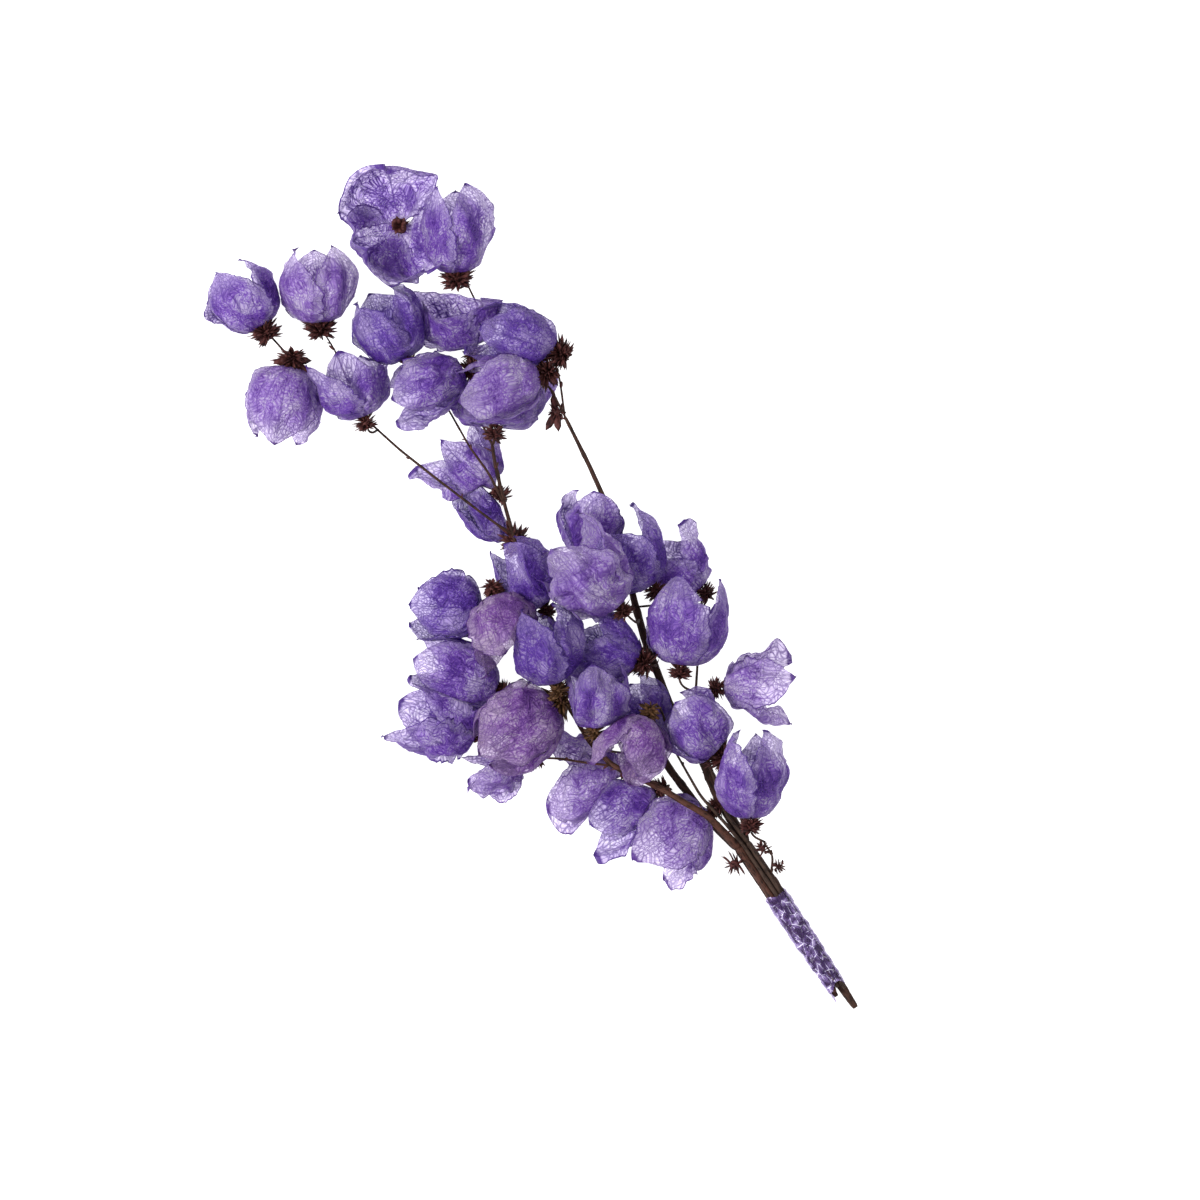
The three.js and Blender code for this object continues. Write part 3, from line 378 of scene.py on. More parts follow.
# The stems: node, slot, thickness at the cut end, place in the bundle across and up, how far the
# cut end stands out of the film, and the route of the stem and of its forks with their thickness.
STEMS = {key: Stem(*row) for key, row in {
    "A": ("stem_long_dark", "bark_dark", 1.6, -1.9, 3.0, 4, [
        (None, 1.0, [
            (-10, 9.5, 4.5), (-26, 30, 6), (-32, 40, 7), (-40, 53, 7), (-53, 64, 7), (-66, 78, 7),
            (-78, 97, 8), (-83, 109, 10), (-88, 122, 13), (-92, 136, 15), (-96, 153, 15), (-97, 160, 12),
        ]),
        (0.9, 0.6, [
            (-89, 124, 14), (-95, 128, 16), (-120, 147, 14), (-134, 158, 10), (-144, 167, 6),
            (-153, 176, 3.5), (-166, 183, 3.5), (-178, 195, 6), (-187, 205, 10),
        ]),
        (0.6, 0.5, [(-152, 175, 3.5), (-155, 186, 3), (-160, 198, 6), (-165, 206, 10)]),
        (0.8, 0.6, [
            (-92, 136, 15), (-98, 148, 17), (-106, 159, 14), (-115, 175, 6), (-122, 184, 4), (-128, 191, 9),
        ]),
        (0.8, 0.6, [
            (-97, 160, 12), (-103, 172, 4), (-106, 184, 3), (-103, 202, 4), (-103, 216, 8), (-107, 224, 14),
        ]),
    ]),
    "B": ("stem_reddish", "bark_reddish", 1.5, -1.5, 6.6, 2, [
        (None, 1.0, [
            (-11, 12, 14), (-20, 17, 15.5), (-28, 22, 15.5), (-38, 27, 15), (-49, 32, 14), (-58, 41, 12.5),
            (-64, 51, 12), (-69, 59, 13),
        ]),
        (0.8, 0.6, [(-49, 32, 14), (-58, 33, 16), (-71, 35, 16), (-86, 35, 13), (-96, 38, 10)]),
        (0.8, 0.6, [(-69, 59, 13), (-76, 69, 9), (-86, 79, 8), (-94, 89, 11)]),
    ]),
    "C": ("stem_thin_grey", "bark_grey", 0.8, 0.5, 8.8, 1, [
        (None, 0.6, [(-4, 9, 12), (-14, 20, 16), (-22, 34, 13), (-26, 41, 13.5)]),
    ]),
    "D": ("stem_thick_dark", "bark_brown", 1.9, 1.9, 3.2, 12, [
        (None, 1.0, [
            (-7, 20, 5), (-12, 32, 7), (-18, 43, 9), (-26, 56, 10), (-31, 69, 11), (-36, 82, 10),
            (-40, 96, 8), (-44, 113, 7), (-48, 129, 10), (-58, 151, 15), (-68, 171, 20),
        ]),
        (0.7, 0.6, [(-68, 171, 20), (-70, 186, 22), (-72.5, 194, 24)]),
        (0.7, 0.6, [(-68, 171, 20), (-73, 181, 23), (-77, 186, 26)]),
    ]),
    "E": ("stem_right_wiry", "bark_grey", 0.85, 2.5, 8.2, 3, [
        (None, 0.6, [
            (-4, 13, 11.5), (-7, 23, 14), (-11, 34, 13), (-13, 48, 10), (-16, 58, 9), (-15, 73, 5),
            (-14, 93, 5), (-13, 101, 10),
        ]),
        (0.6, 0.6, [(-16, 58, 9), (-11, 62, 12)]),
    ]),
    "F": ("stem_short_brown", "bark_brown", 0.9, 2.9, 6.2, 5, [
        (None, 0.6, [(4, 6, 7), (1, 16, 8), (-1, 25, 12), (-4, 33, 17)]),
        (0.7, 0.6, [(16, -11, 7), (15, -4, 12), (11, 2, 18)]),
    ]),
}.items()}

# Loose tufts and buds that carry no head: place, direction, rise, stem and reach.
BARE_TUFTS = [BareTuft(*row) for row in [
    ((-2, -8, 7), 195, 10, "B", 7),
    ((10, 0, 16), 120, 45, "F", 4.5),
    ((19, -8, 5.6), 20, 0, "F", 4),
    ((-73, 173, 20), 175, 10, "D", 5.5),
]]

WORD = 0xFFFFFFFF


def random_stream(seed):
    """A repeatable stream of numbers from 0 to 1."""
    state = seed & WORD

    def draw():
        nonlocal state
        state = (state + 0x6D2B79F5) & WORD
        mixed = ((state ^ (state >> 15)) * (state | 1)) & WORD
        mixed ^= (mixed + (((mixed ^ (mixed >> 7)) * (mixed | 61)) & WORD)) & WORD
        return ((mixed ^ (mixed >> 14)) & WORD) / (WORD + 1)

    return draw


def between(random, low, high):
    return low + (high - low) * random()


def vector(values):
    return np.array(values, dtype=float)


def unit(values):
    return values / np.linalg.norm(values)


def direction(toward_deg, rise_deg):
    toward = math.radians(toward_deg)
    rise = math.radians(rise_deg)
    return vector((math.cos(rise) * math.cos(toward), math.cos(rise) * math.sin(toward), math.sin(rise)))


def to_frame(points):
    """Layout millimetres to metres of the part's frame."""
    turn = math.radians(BUNCH_TURN_DEG)
    points = np.asarray(points, dtype=float)
    x = points[..., 0] * math.cos(turn) - points[..., 1] * math.sin(turn) - BOX_CENTRE[0]
    y = points[..., 0] * math.sin(turn) + points[..., 1] * math.cos(turn) - BOX_CENTRE[1]
    return np.stack([x, y, points[..., 2]], axis=-1) * MM


def nearest_on_segment(point, start, end):
    along = end - start
    share = float(np.dot(point - start, along) / max(np.dot(along, along), 1e-9))
    return start + along * min(max(share, 0.0), 1.0)


def nearest_on_line(point, line):
    near = [nearest_on_segment(point, a, b) for a, b in zip(line[:-1], line[1:])]
    return min(near, key=lambda place: np.linalg.norm(place - point))


def bundle_point(along, across, height):
    """The point of the bundle that lies the given way along it, across it and up."""
    dx = (BUNDLE_END[0] - BUNDLE_START[0]) / BUNDLE_LENGTH
    dy = (BUNDLE_END[1] - BUNDLE_START[1]) / BUNDLE_LENGTH
    x = BUNDLE_START[0] + dx * along - dy * across
    y = BUNDLE_START[1] + dy * along + dx * across
    return vector((x, y, height))


def stem_lines(key):
    """The lines of a stem, as (points, radius at the start, radius at the end)."""
    stem = STEMS[key]
    cut, bound, freed = [
        bundle_point(along, stem.across, stem.height)
        for along in (BUNDLE_LENGTH + stem.beyond, BUNDLE_LENGTH, -BUNDLE_LOOSE)
    ]
    _, end_radius, route = stem.routes[0]
    main = [freed] + [vector(point) for point in route]
    lines = [([cut, bound, freed], stem.radius, stem.radius), (main, stem.radius, end_radius)]
    for start_radius, end_radius, route in stem.routes[1:]:
        points = [vector(point) for point in route]
        places = [nearest_on_line(points[0], line[0]) for line in lines]
        points[0] = min(places, key=lambda place: np.linalg.norm(place - vector(route[0])))
        lines.append((points, start_radius, end_radius))
    return lines


def head_frame(at, toward, rise):
    """The foot of a head or tuft, its line and two directions across it."""
    axis = direction(toward, rise)
    side = vector((-math.sin(math.radians(toward)), math.cos(math.radians(toward)), 0))
    up = np.cross(axis, side)
    return vector(at) + axis * FOOT_AHEAD, axis, side, up


def pedicel_line(head_axes, lines):
    """The pedicel's line, from inside the nearest stem to the back of the tuft."""
    foot, axis, _, _ = head_axes
    back = foot - axis * (TUFT_SETBACK + TUFT_LEAST_STAND)
    places = [nearest_on_line(back, line[0]) for line in lines]
    start = min(places, key=lambda place: np.linalg.norm(place - back))
    reach = np.linalg.norm(back - start)
    lead = back - axis * reach * PEDICEL_LEAD
    points = []
    for t in SHORT_SHARES if reach < SHORT_PEDICEL else PEDICEL_SHARES:
        a = start + (lead - start) * t
        b = lead + (back - lead) * t
        points.append(a + (b - a) * t)
    points[0] = start - unit(points[1] - start) * PEDICEL_ROOT
    for point in points:
        point[2] = max(point[2], PEDICEL_RADIUS)
    return points


HEAD_AXES = [head_frame(*head[:3]) for head in HEADS]
LINES = {key: stem_lines(key) for key in STEMS}
PEDICELS = [pedicel_line(axes, LINES[head.stem]) for axes, head in zip(HEAD_AXES, HEADS)]
BARE_AXES = [head_frame(*tuft[:3]) for tuft in BARE_TUFTS]
BARE_PEDICELS = [pedicel_line(axes, LINES[tuft.stem]) for axes, tuft in zip(BARE_AXES, BARE_TUFTS)]


def rods_of(points, start_radius, end_radius, stem, owner):
    """A line as short rods."""
    rods = []
    last = len(points) - 1
    for i in range(last):
        radii = [start_radius + (end_radius - start_radius) * j / last for j in (i, i + 1)]
        rods.append(Rod(points[i], points[i + 1], max(radii), stem, owner))
    return rods


def tuft_on(owner, stem, size, reach, axes, opening, line):
    return Tuft(owner, stem, size, reach, axes, opening, line, axes[0] - axes[1] * TUFT_SETBACK)


TUFTS = [
    tuft_on(f"head{i}", head.stem, head.tuft, TUFT_REACH[head.tuft], HEAD_AXES[i], head.opening, PEDICELS[i])
    for i, head in enumerate(HEADS)
] + [
    tuft_on(f"bare{i}", tuft.stem, 0, tuft.reach, BARE_AXES[i], 0, BARE_PEDICELS[i])
    for i, tuft in enumerate(BARE_TUFTS)
]
RODS = []
for stem_key, stem_parts in LINES.items():
    for stem_points, first_radius, last_radius in stem_parts:
        RODS += rods_of(stem_points, first_radius, last_radius, stem_key, "stem")
for tuft_made in TUFTS:
    RODS += rods_of(tuft_made.line, PEDICEL_ROOM, PEDICEL_ROOM, tuft_made.stem, tuft_made.owner)
BALLS = [
    (axes[0] + axes[1] * head.long / 2, max(head.long, head.wide) / 2) for axes, head in zip(HEAD_AXES, HEADS)
]


def limit_between(centre, near, share, standoff):
    """A flat limit between two places, which leans level where one lies above the other."""
    out = near - centre
    out[2] *= LEVEL_PRESS
    out = unit(out)
    reach = np.dot(out, near) - np.dot(out, centre)
    return out, np.dot(out, centre) + reach * share - standoff


def pressed_near(point, rod):
    """The place on a rod nearest to a point, where height counts more than distance aside."""
    stretch = vector((1, 1, math.sqrt(LEVEL_PRESS)))
    return nearest_on_segment(point * stretch, rod.start * stretch, rod.end * stretch) / stretch


def near_enough(first, second, reach):
    return np.linalg.norm(second - first) <= reach + NEIGHBOUR_REACH


def tuft_stand(tuft, centre):
    """The way from a tuft to a head, the tuft's middle on it, and how far out its scales stand."""
    out, offset = limit_between(tuft.centre, centre, 0, 0)
    distance = np.dot(out, centre) - np.dot(out, tuft.centre)
    return out, offset, min(tuft.reach, max(TUFT_LEAST_STAND, distance * TUFT_STAND_SHARE))


def head_limits(i):
    """The flat limits that its neighbours set for a head."""
    centre, radius = BALLS[i]
    owner = f"head{i}"
    limits = []
    for j, (other, other_radius) in enumerate(BALLS):
        if j != i and near_enough(centre, other, radius + other_radius):
            share = radius / (radius + other_radius)
            limits.append(limit_between(centre, other, share, -HEAD_OVERLAP))
    for rod in RODS:
        near = pressed_near(centre, rod)
        if rod.owner != owner and near_enough(centre, near, radius + rod.radius):
            limits.append(limit_between(centre, near, 1, rod.radius + CLEARANCE))
    for tuft in TUFTS:
        if tuft.owner != owner and near_enough(centre, tuft.centre, radius + tuft.reach):
            out, offset, stand = tuft_stand(tuft, centre)
            limits.append((-out, -offset - TUFT_PRESS * stand))
    return limits


def tuft_limits(tuft):
    """The flat limits that heads, stems and other tufts set for a tuft."""
    limits = []
    for j, (centre, radius) in enumerate(BALLS):
        if tuft.owner != f"head{j}" and near_enough(tuft.centre, centre, radius + tuft.reach):
            out, offset, stand = tuft_stand(tuft, centre)
            limits.append((out, offset + stand))
    for rod in RODS:
        near = pressed_near(tuft.centre, rod)
        if rod.stem != tuft.stem and near_enough(tuft.centre, near, tuft.reach + rod.radius):
            limits.append(limit_between(tuft.centre, near, 1, rod.radius + CLEARANCE / 2))
    for other in TUFTS:
        gap = np.linalg.norm(other.centre - tuft.centre)
        if other.stem != tuft.stem and gap <= tuft.reach + other.reach:
            limits.append(limit_between(tuft.centre, other.centre, 0.5, CLEARANCE / 2))
    return limits


def press_inside(points, limits, soft):
    """Presses points back inside the limits, softly, so that the surface stays rounded near them."""
    points = points.copy()
    for _ in range(PRESS_ROUNDS):
        for out, offset in limits:
            past = points @ out - offset + soft
            over = np.maximum(past, 0)
            pressed = soft * (1 - np.exp(-over / soft))
            points += (pressed - over)[..., None] * out
    return points


def keep_above(points, lowest):
    points[..., 2] = np.maximum(points[..., 2], lowest)


class Mesh:
    """Collects points, faces, slots and the two values that the materials read."""

    def __init__(self):
        self.points = []
        self.faces = []
        self.slots = []
        self.leaf = []
        self.patch = []
        self.count = 0

    def add(self, points, faces, slot, leaf=None, patch=None):
        points = np.asarray(points, dtype=float).reshape(-1, 3)
        leaf = np.zeros_like(points) if leaf is None else np.asarray(leaf, dtype=float).reshape(-1, 3)
        patch = leaf if patch is None else np.asarray(patch, dtype=float).reshape(-1, 3)
        self.points.append(points)
        self.leaf.append(leaf)
        self.patch.append(patch)
        self.faces += [tuple(index + self.count for index in face) for face in faces]
        self.slots += [slot] * len(faces)
        self.count += len(points)

    def build(self, name, materials):
        mesh = bpy.data.meshes.new(name)
        mesh.from_pydata(to_frame(np.concatenate(self.points)).tolist(), [], self.faces)
        for material in materials:
            mesh.materials.append(material)
        mesh.polygons.foreach_set("material_index", self.slots)
        mesh.polygons.foreach_set("use_smooth", [True] * len(self.faces))
        for title, values in (("leaf", self.leaf), ("patch", self.patch)):
            attribute = mesh.attributes.new(title, "FLOAT_VECTOR", "POINT")
            attribute.data.foreach_set("vector", np.concatenate(values).ravel())
        mesh.update()
        piece = bpy.data.objects.new(name, mesh)
        bpy.context.scene.collection.objects.link(piece)
        return piece


def grid_faces(rows, columns, closed):
    """The faces of a grid of points, which wraps round in its columns if it is closed."""
    faces = []
    for r in range(rows - 1):
        for c in range(columns if closed else columns - 1):
            d = (c + 1) % columns
            faces.append((r * columns + c, r * columns + d, (r + 1) * columns + d, (r + 1) * columns + c))
    return faces


def normals_of(surface):
    """The directions square to a grid of points."""
    normals = np.cross(np.gradient(surface, axis=0), np.gradient(surface, axis=1))
    return normals / (np.linalg.norm(normals, axis=2, keepdims=True) + 1e-12)


def sheet_solid(middle, thickness):
    """A closed thin solid round a grid of points, as points and faces."""
    rows, columns = middle.shape[:2]
    half = normals_of(middle) * thickness / 2
    points = np.concatenate([(middle + half).reshape(-1, 3), (middle - half).reshape(-1, 3)])
    count = rows * columns
    faces = grid_faces(rows, columns, False)
    faces += [tuple(index + count for index in reversed(face)) for face in faces]
    rim = list(range(columns))
    rim += [r * columns + columns - 1 for r in range(1, rows)]
    rim += [(rows - 1) * columns + c for c in range(columns - 2, -1, -1)]
    rim += [r * columns for r in range(rows - 2, 0, -1)]
    for a, b in zip(rim, rim[1:] + rim[:1]):
        faces.append((b, a, a + count, b + count))
    return points, faces


def field_draws(random, count, shortest, longest, spread):
    """The waves or folds of a field: steps per millimetre both ways, shift and length."""
    drawn = []
    for _ in range(count):
        turn = (random() - 0.5) * spread
        length = between(random, shortest, longest)
        drawn.append((math.cos(turn) / length, math.sin(turn) / length, random(), length))
    return drawn


def wave_field(random, count, shortest, longest):
    """A smooth uneven field over a flat place in millimetres, about -1 to 1."""
    waves = field_draws(random, count, shortest, longest, FULL_TURN)

    def field(x, y):
        total = sum(np.sin(FULL_TURN * (x * a + y * b + shift)) for a, b, shift, _ in waves)
        return total / math.sqrt(count)

    return field


def fold_field(random, count, shortest, longest, spread=FULL_TURN):
    """Crumpled paper: flat facets between sharp folds that bend a little, about -1 to 1."""
    folds = field_draws(random, count, shortest, longest, spread)
    bend = wave_field(random, 3, longest, 2 * longest)

    def field(x, y):
        bent = FOLD_BEND * bend(x, y)
        total = 0
        for a, b, shift, length in folds:
            place = x * a + y * b + shift + bent
            total = total + length / longest * (4 * np.abs(place - np.floor(place + 0.5)) - 1)
        return total / math.sqrt(count)

    return field


def bract_reach(s):
    """How far round the balloon a bract reaches at the share s of its length, in degrees."""
    shoulder = np.sin(math.pi * np.minimum(0.5, SHOULDER_START + s * SHOULDER_RISE)) ** SHOULDER_POWER
    point = np.maximum(0, 1 - s ** POINT_START) ** POINT_POWER
    return BRACT_REACH_DEG * shoulder * point


def bulge(angle, fullness):
    """How wide the balloon is at an angle round it: full near the foot and drawn in to the tip."""
    power = np.where(angle < math.pi / 2, fullness, 1.0)
    return np.maximum(np.sin(angle), 0) ** power


def balloon_form(number):
    """The angle of the tips of a head and its fullness near the foot."""
    if number in TULIPS:
        return TULIP_TIP_DEG, TULIP_FULLNESS
    tip_deg = CRUSHED_TIP_DEG if number in CRUSHED else TIP_ANGLE_DEG
    return tip_deg, BROAD_FULLNESS if number in BROAD else FOOT_FULLNESS


def bract_draws(index):
    """What differs from bract to bract: turn and lean in degrees, shares of size and tip, ruffles."""
    random = random_stream(index * 977 + 13)
    draws = []
    for _ in range(BRACT_COUNT):
        draws.append({
            "turn": between(random, -1, 1),
            "size": between(random, 0.95, 1.05),
            "wave": random() * FULL_TURN,
            "ripple": random() * FULL_TURN,
            "lean": between(random, -1.5, 1.5),
            "tip": between(random, 0.94, 1.0),
        })
    return draws


def torn_margin(random, s, side):
    """How much wider or narrower the bract is along one margin, with small tears."""
    shape = 0
    for n in range(MARGIN_WAVES):
        pitch = MARGIN_PITCH + MARGIN_PITCH_STEP * n + random()
        depth = MARGIN_DEPTH / (1 + MARGIN_FADE * n)
        shape = shape + depth * np.sin(pitch * s * FULL_TURN + random() * PHASE_RANGE)
    for _ in range(TEARS):
        place = between(random, *TEAR_PLACE)
        depth = TEAR_LEAST + TEAR_MORE * random() ** 2
        width = between(random, *TEAR_WIDTH)
        shape = shape - depth * np.exp(-(((s - place) / width) ** 2))
    return shape * np.maximum(side, 0) ** MARGIN_POWER


def margin_flare(random, s, t, crushed, ripple):
    """How far one margin of a bract stands out from the balloon, in millimetres."""
    one_side = np.maximum(t - FLARE_START, 0) / (1 - FLARE_START)
    other_side = np.maximum(-t - FLARE_START, 0) / (1 - FLARE_START)
    margin = one_side + FLARE_OTHER_SIDE * other_side
    waved = 1 - FLARE_WAVE + FLARE_WAVE * np.sin(FLARE_PITCH * s + ripple)
    return between(random, *FLARES[crushed]) * waved * margin ** 2


def net_place(random, across_mm, along_mm, folded):
    """Where the points of a bract lie on the net of veins, and how folded it is there, which the material
    turns into a painted highlight on the fold crests.
    """
    shift = NET_SHIFT * random()
    wander_across = wave_field(random, *NET_WAVES)(across_mm, along_mm)
    wander_along = wave_field(random, *NET_WAVES)(across_mm, along_mm)
    return np.stack([
        across_mm + NET_WANDER * wander_across + shift,
        NET_STRETCH * (along_mm + NET_WANDER * wander_along) + 3 * shift,
        0.5 + 0.5 * folded,
    ], axis=-1)


def bract_surface(index, k, draw):
    """The middle surface of a bract, the values that its material reads, and its flat places."""
    head = HEADS[index]
    number = index + 1
    crushed = number in CRUSHED
    foot, axis, side, up = HEAD_AXES[index]
    random = random_stream(index * 331 + k * 71 + 7)
    pleats = fold_field(random, *PLEATS)
    crumple = fold_field(random, *CRUMPLES)
    even = np.linspace(0.0, 1.0, BRACT_ROWS)
    eased = even * even * (3 - 2 * even)
    s = (FIRST_ROW + (1 - FIRST_ROW) * (eased + even) / 2)[:, None]
    t = np.linspace(-1, 1, BRACT_COLUMNS)[None, :]

    full_lean = math.radians(max(head.opening + draw["lean"], 0))
    lean = full_lean * np.minimum(2 * s, 1)
    half_width = head.wide / 2
    belly = math.sqrt(half_width * (half_width - head.long * math.sin(full_lean))) / math.cos(full_lean)
    tip_deg, fullness = balloon_form(number)
    tip_angle = math.radians(tip_deg * draw["tip"])
    angle = tip_angle * s
    bulged = BALLOON_SHARE * belly * bulge(angle, fullness)
    climb = CLIMB_SHARE * head.long * (1 - np.cos(angle)) / (1 - math.cos(tip_angle))

    torn = torn_margin(random, s, t) + torn_margin(random, s, -t)
    wide_open = head.opening > WIDE_OPENING
    reach = bract_reach(s) * (WIDE_REACH + WIDE_TEARS * torn if wide_open else 1 + torn)
    across_mm = t * np.radians(reach) * np.maximum(bulged, 1)
    along_mm = s * head.long * ARC_SHARE + 0 * t
    crush = CRUSHED_FOLDS if crushed else between(random, *FOLD_RANGE)
    folded = pleats(across_mm, along_mm) * PLEAT_DEPTH + crumple(across_mm, along_mm) * CRUMPLE_DEPTH
    relief = folded * crush + margin_flare(random, s, t, crushed, draw["ripple"])
    wave = np.sin(RUFFLE_PITCH * s + draw["wave"] + RUFFLE_SLANT * t) * t * t
    wave = wave + RIPPLE_SHARE * np.sin(RIPPLE_PITCH * s + draw["ripple"]) * t
    size = draw["size"] * BRACT_SIZES.get(number, (1, 1, 1))[k]
    swell = size * (1 + SPIRAL_LEAD * t + RUFFLE * wave * s)
    swell = swell + relief * np.minimum(1, s / FOLDS_START) / half_width

    end = (np.maximum(s - CURL_START, 0) / (1 - CURL_START)) ** 2
    tip_curl = between(random, *CURLS[crushed]) * end
    tip_ahead = between(random, *TIPS_AHEAD[crushed]) * end
    outward = (bulged * np.cos(lean) + climb * np.sin(lean)) * swell + tip_curl
    ahead = (climb * np.cos(lean) - bulged * np.sin(lean)) * size + tip_ahead + 0 * t
    turn = draw["turn"] + BRACT_TURNS.get(number, (0, 0, 0))[k]
    around = np.radians(head.roll + k * BRACT_SPACING_DEG + turn + t * reach)
    points = (
        foot + axis * ahead[..., None]
        + side * (outward * np.cos(around))[..., None]
        + up * (outward * np.sin(around))[..., None]
    )
    leaf = np.stack([t + 0 * s, s + 0 * t, 0 * across_mm], axis=-1)
    flat = np.stack([across_mm, along_mm], axis=-1)
    return points, leaf, net_place(random, across_mm, along_mm, folded), flat


def wrinkled(points, index, k, flat):
    """Adds the fine wrinkles that dry paper has everywhere, also where it is pressed flat."""
    random = random_stream(index * 617 + k * 37 + 5)
    fine = fold_field(random, *FINE_WRINKLES)
    finest = fold_field(random, *FINEST_WRINKLES)
    across, along = flat[..., 0], flat[..., 1]
    depth = fine(across, along) * FINE_DEPTH + finest(across, along) * FINEST_DEPTH
    depth = depth * np.minimum(1, along / WRINKLES_START)
    points = points + normals_of(points) * depth[..., None]
    keep_above(points, BRACT_THICKNESS / 2)
    return points


def press_head(points, index, limits):
    """Presses a bract back from the neighbours of its head, but not near the foot."""
    foot = HEAD_AXES[index][0]
    pressed = press_inside(points, limits, SOFT_ZONE)
    keep_above(pressed, BRACT_THICKNESS / 2)
    hold = np.minimum(1, np.linalg.norm(points - foot, axis=-1) / FOOT_HOLD)[..., None]
    return points * (1 - hold) + pressed * hold


def blade(base, ahead, out, length, width, thickness, bend):
    """A thin pointed blade from its base, bent towards out, as points and faces."""
    across = np.cross(ahead, out)
    points = []
    for i in range(BLADE_STEPS):
        share = i / BLADE_STEPS
        middle = base + ahead * length * share + out * bend * share * share
        half = width / 2 * math.sin(math.pi * min(BLADE_START + share * BLADE_RISE, 1)) ** BLADE_POWER
        deep = thickness / 2 * (1 - BLADE_THIN * share)
        points += [middle + across * half, middle + out * deep, middle - across * half, middle - out * deep]
    points.append(base + ahead * length + out * bend)
    last = 4 * (BLADE_STEPS - 1)
    faces = [(3, 2, 1, 0)]
    for ring in range(0, last, 4):
        for j in range(4):
            a, b = ring + j, ring + (j + 1) % 4
            faces.append((a, b, b + 4, a + 4))
    faces += [(last + j, last + (j + 1) % 4, last + 4) for j in range(4)]
    return np.array(points), faces


def add_scale(mesh, points, faces, slot, tone):
    """Adds a dry scale, which has one tone all over and stays above the ground."""
    keep_above(points, LOWEST)
    mesh.add(points, faces, slot, np.zeros_like(points), np.repeat([[0, 0, tone]], len(points), axis=0))


def ball(centre, axes, sizes, rows=8, columns=12):
    """A closed ball stretched along its three axes."""
    points = [centre + axes[0] * sizes[0]]
    for r in range(1, rows):
        polar = math.pi * r / rows
        for c in range(columns):
            around = FULL_TURN * c / columns
            points.append(
                centre + axes[0] * sizes[0] * math.cos(polar)
                + axes[1] * sizes[1] * math.sin(polar) * math.cos(around)
                + axes[2] * sizes[2] * math.sin(polar) * math.sin(around)
            )
    points.append(centre - axes[0] * sizes[0])
    last = len(points) - 1
    faces = [(0, 1 + c, 1 + (c + 1) % columns) for c in range(columns)]
    faces += [tuple(index + 1 for index in face) for face in grid_faces(rows - 1, columns, True)]
    faces = [face if len(face) == 3 else face[::-1] for face in faces]
    start = 1 + (rows - 2) * columns
    faces += [(last, start + (c + 1) % columns, start + c) for c in range(columns)]
    return np.array(points), faces


def head_piece(index, materials):
    """One papery head: three bracts, the small foot and the dried flower stalks inside it."""
    mesh = Mesh()
    limits = head_limits(index)
    for k, draw in enumerate(bract_draws(index)):
        free, leaf, patch, flat = bract_surface(index, k, draw)
        middle = wrinkled(press_head(free, index, limits), index, k, flat)
        points, faces = sheet_solid(middle, BRACT_THICKNESS)
        doubled = [np.concatenate([values.reshape(-1, 3)] * 2) for values in (leaf, patch)]
        mesh.add(points, faces, 0, *doubled)
    foot, axis, side, up = HEAD_AXES[index]
    random = random_stream(index * 59 + 3)
    wide_open = HEADS[index].opening > WIDE_OPENING
    centre = foot + axis * FOOT_BALL_AHEAD[wide_open]
    mesh.add(*ball(centre, (axis, side, up), FOOT_BALLS[wide_open]), 1)
    stalks = STALKS[wide_open]
    for stalk in range(stalks):
        around = (stalk + random() * STALK_JITTER) * FULL_TURN / stalks
        out = side * math.cos(around) + up * math.sin(around)
        ahead = unit(axis + out * between(random, *STALK_SPREAD))
        over = unit(np.cross(np.cross(ahead, out), ahead))
        length = between(random, *STALK_LENGTHS[wide_open])
        mesh.add(*blade(foot, ahead, over, length, STALK_WIDTH[wide_open], STALK_THICKNESS, STALK_BEND), 1)
    piece = mesh.build(f"papery_head_{index + 1:02d}", materials)
    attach(piece, "root")
    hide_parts(f"head_{index + 1:02d}")
    return piece


def eased_line(points, step):
    """A line with even steps and softly rounded corners."""
    dense = []
    for a, b in zip(points[:-1], points[1:]):
        count = max(2, int(np.linalg.norm(b - a) / step))
        dense += [a + (b - a) * i / count for i in range(count)]
    dense.append(points[-1])
    dense = np.array(dense)
    for _ in range(STEM_SMOOTHINGS):
        dense[1:-1] = dense[1:-1] * 0.5 + (dense[:-2] + dense[2:]) * 0.25
    return dense


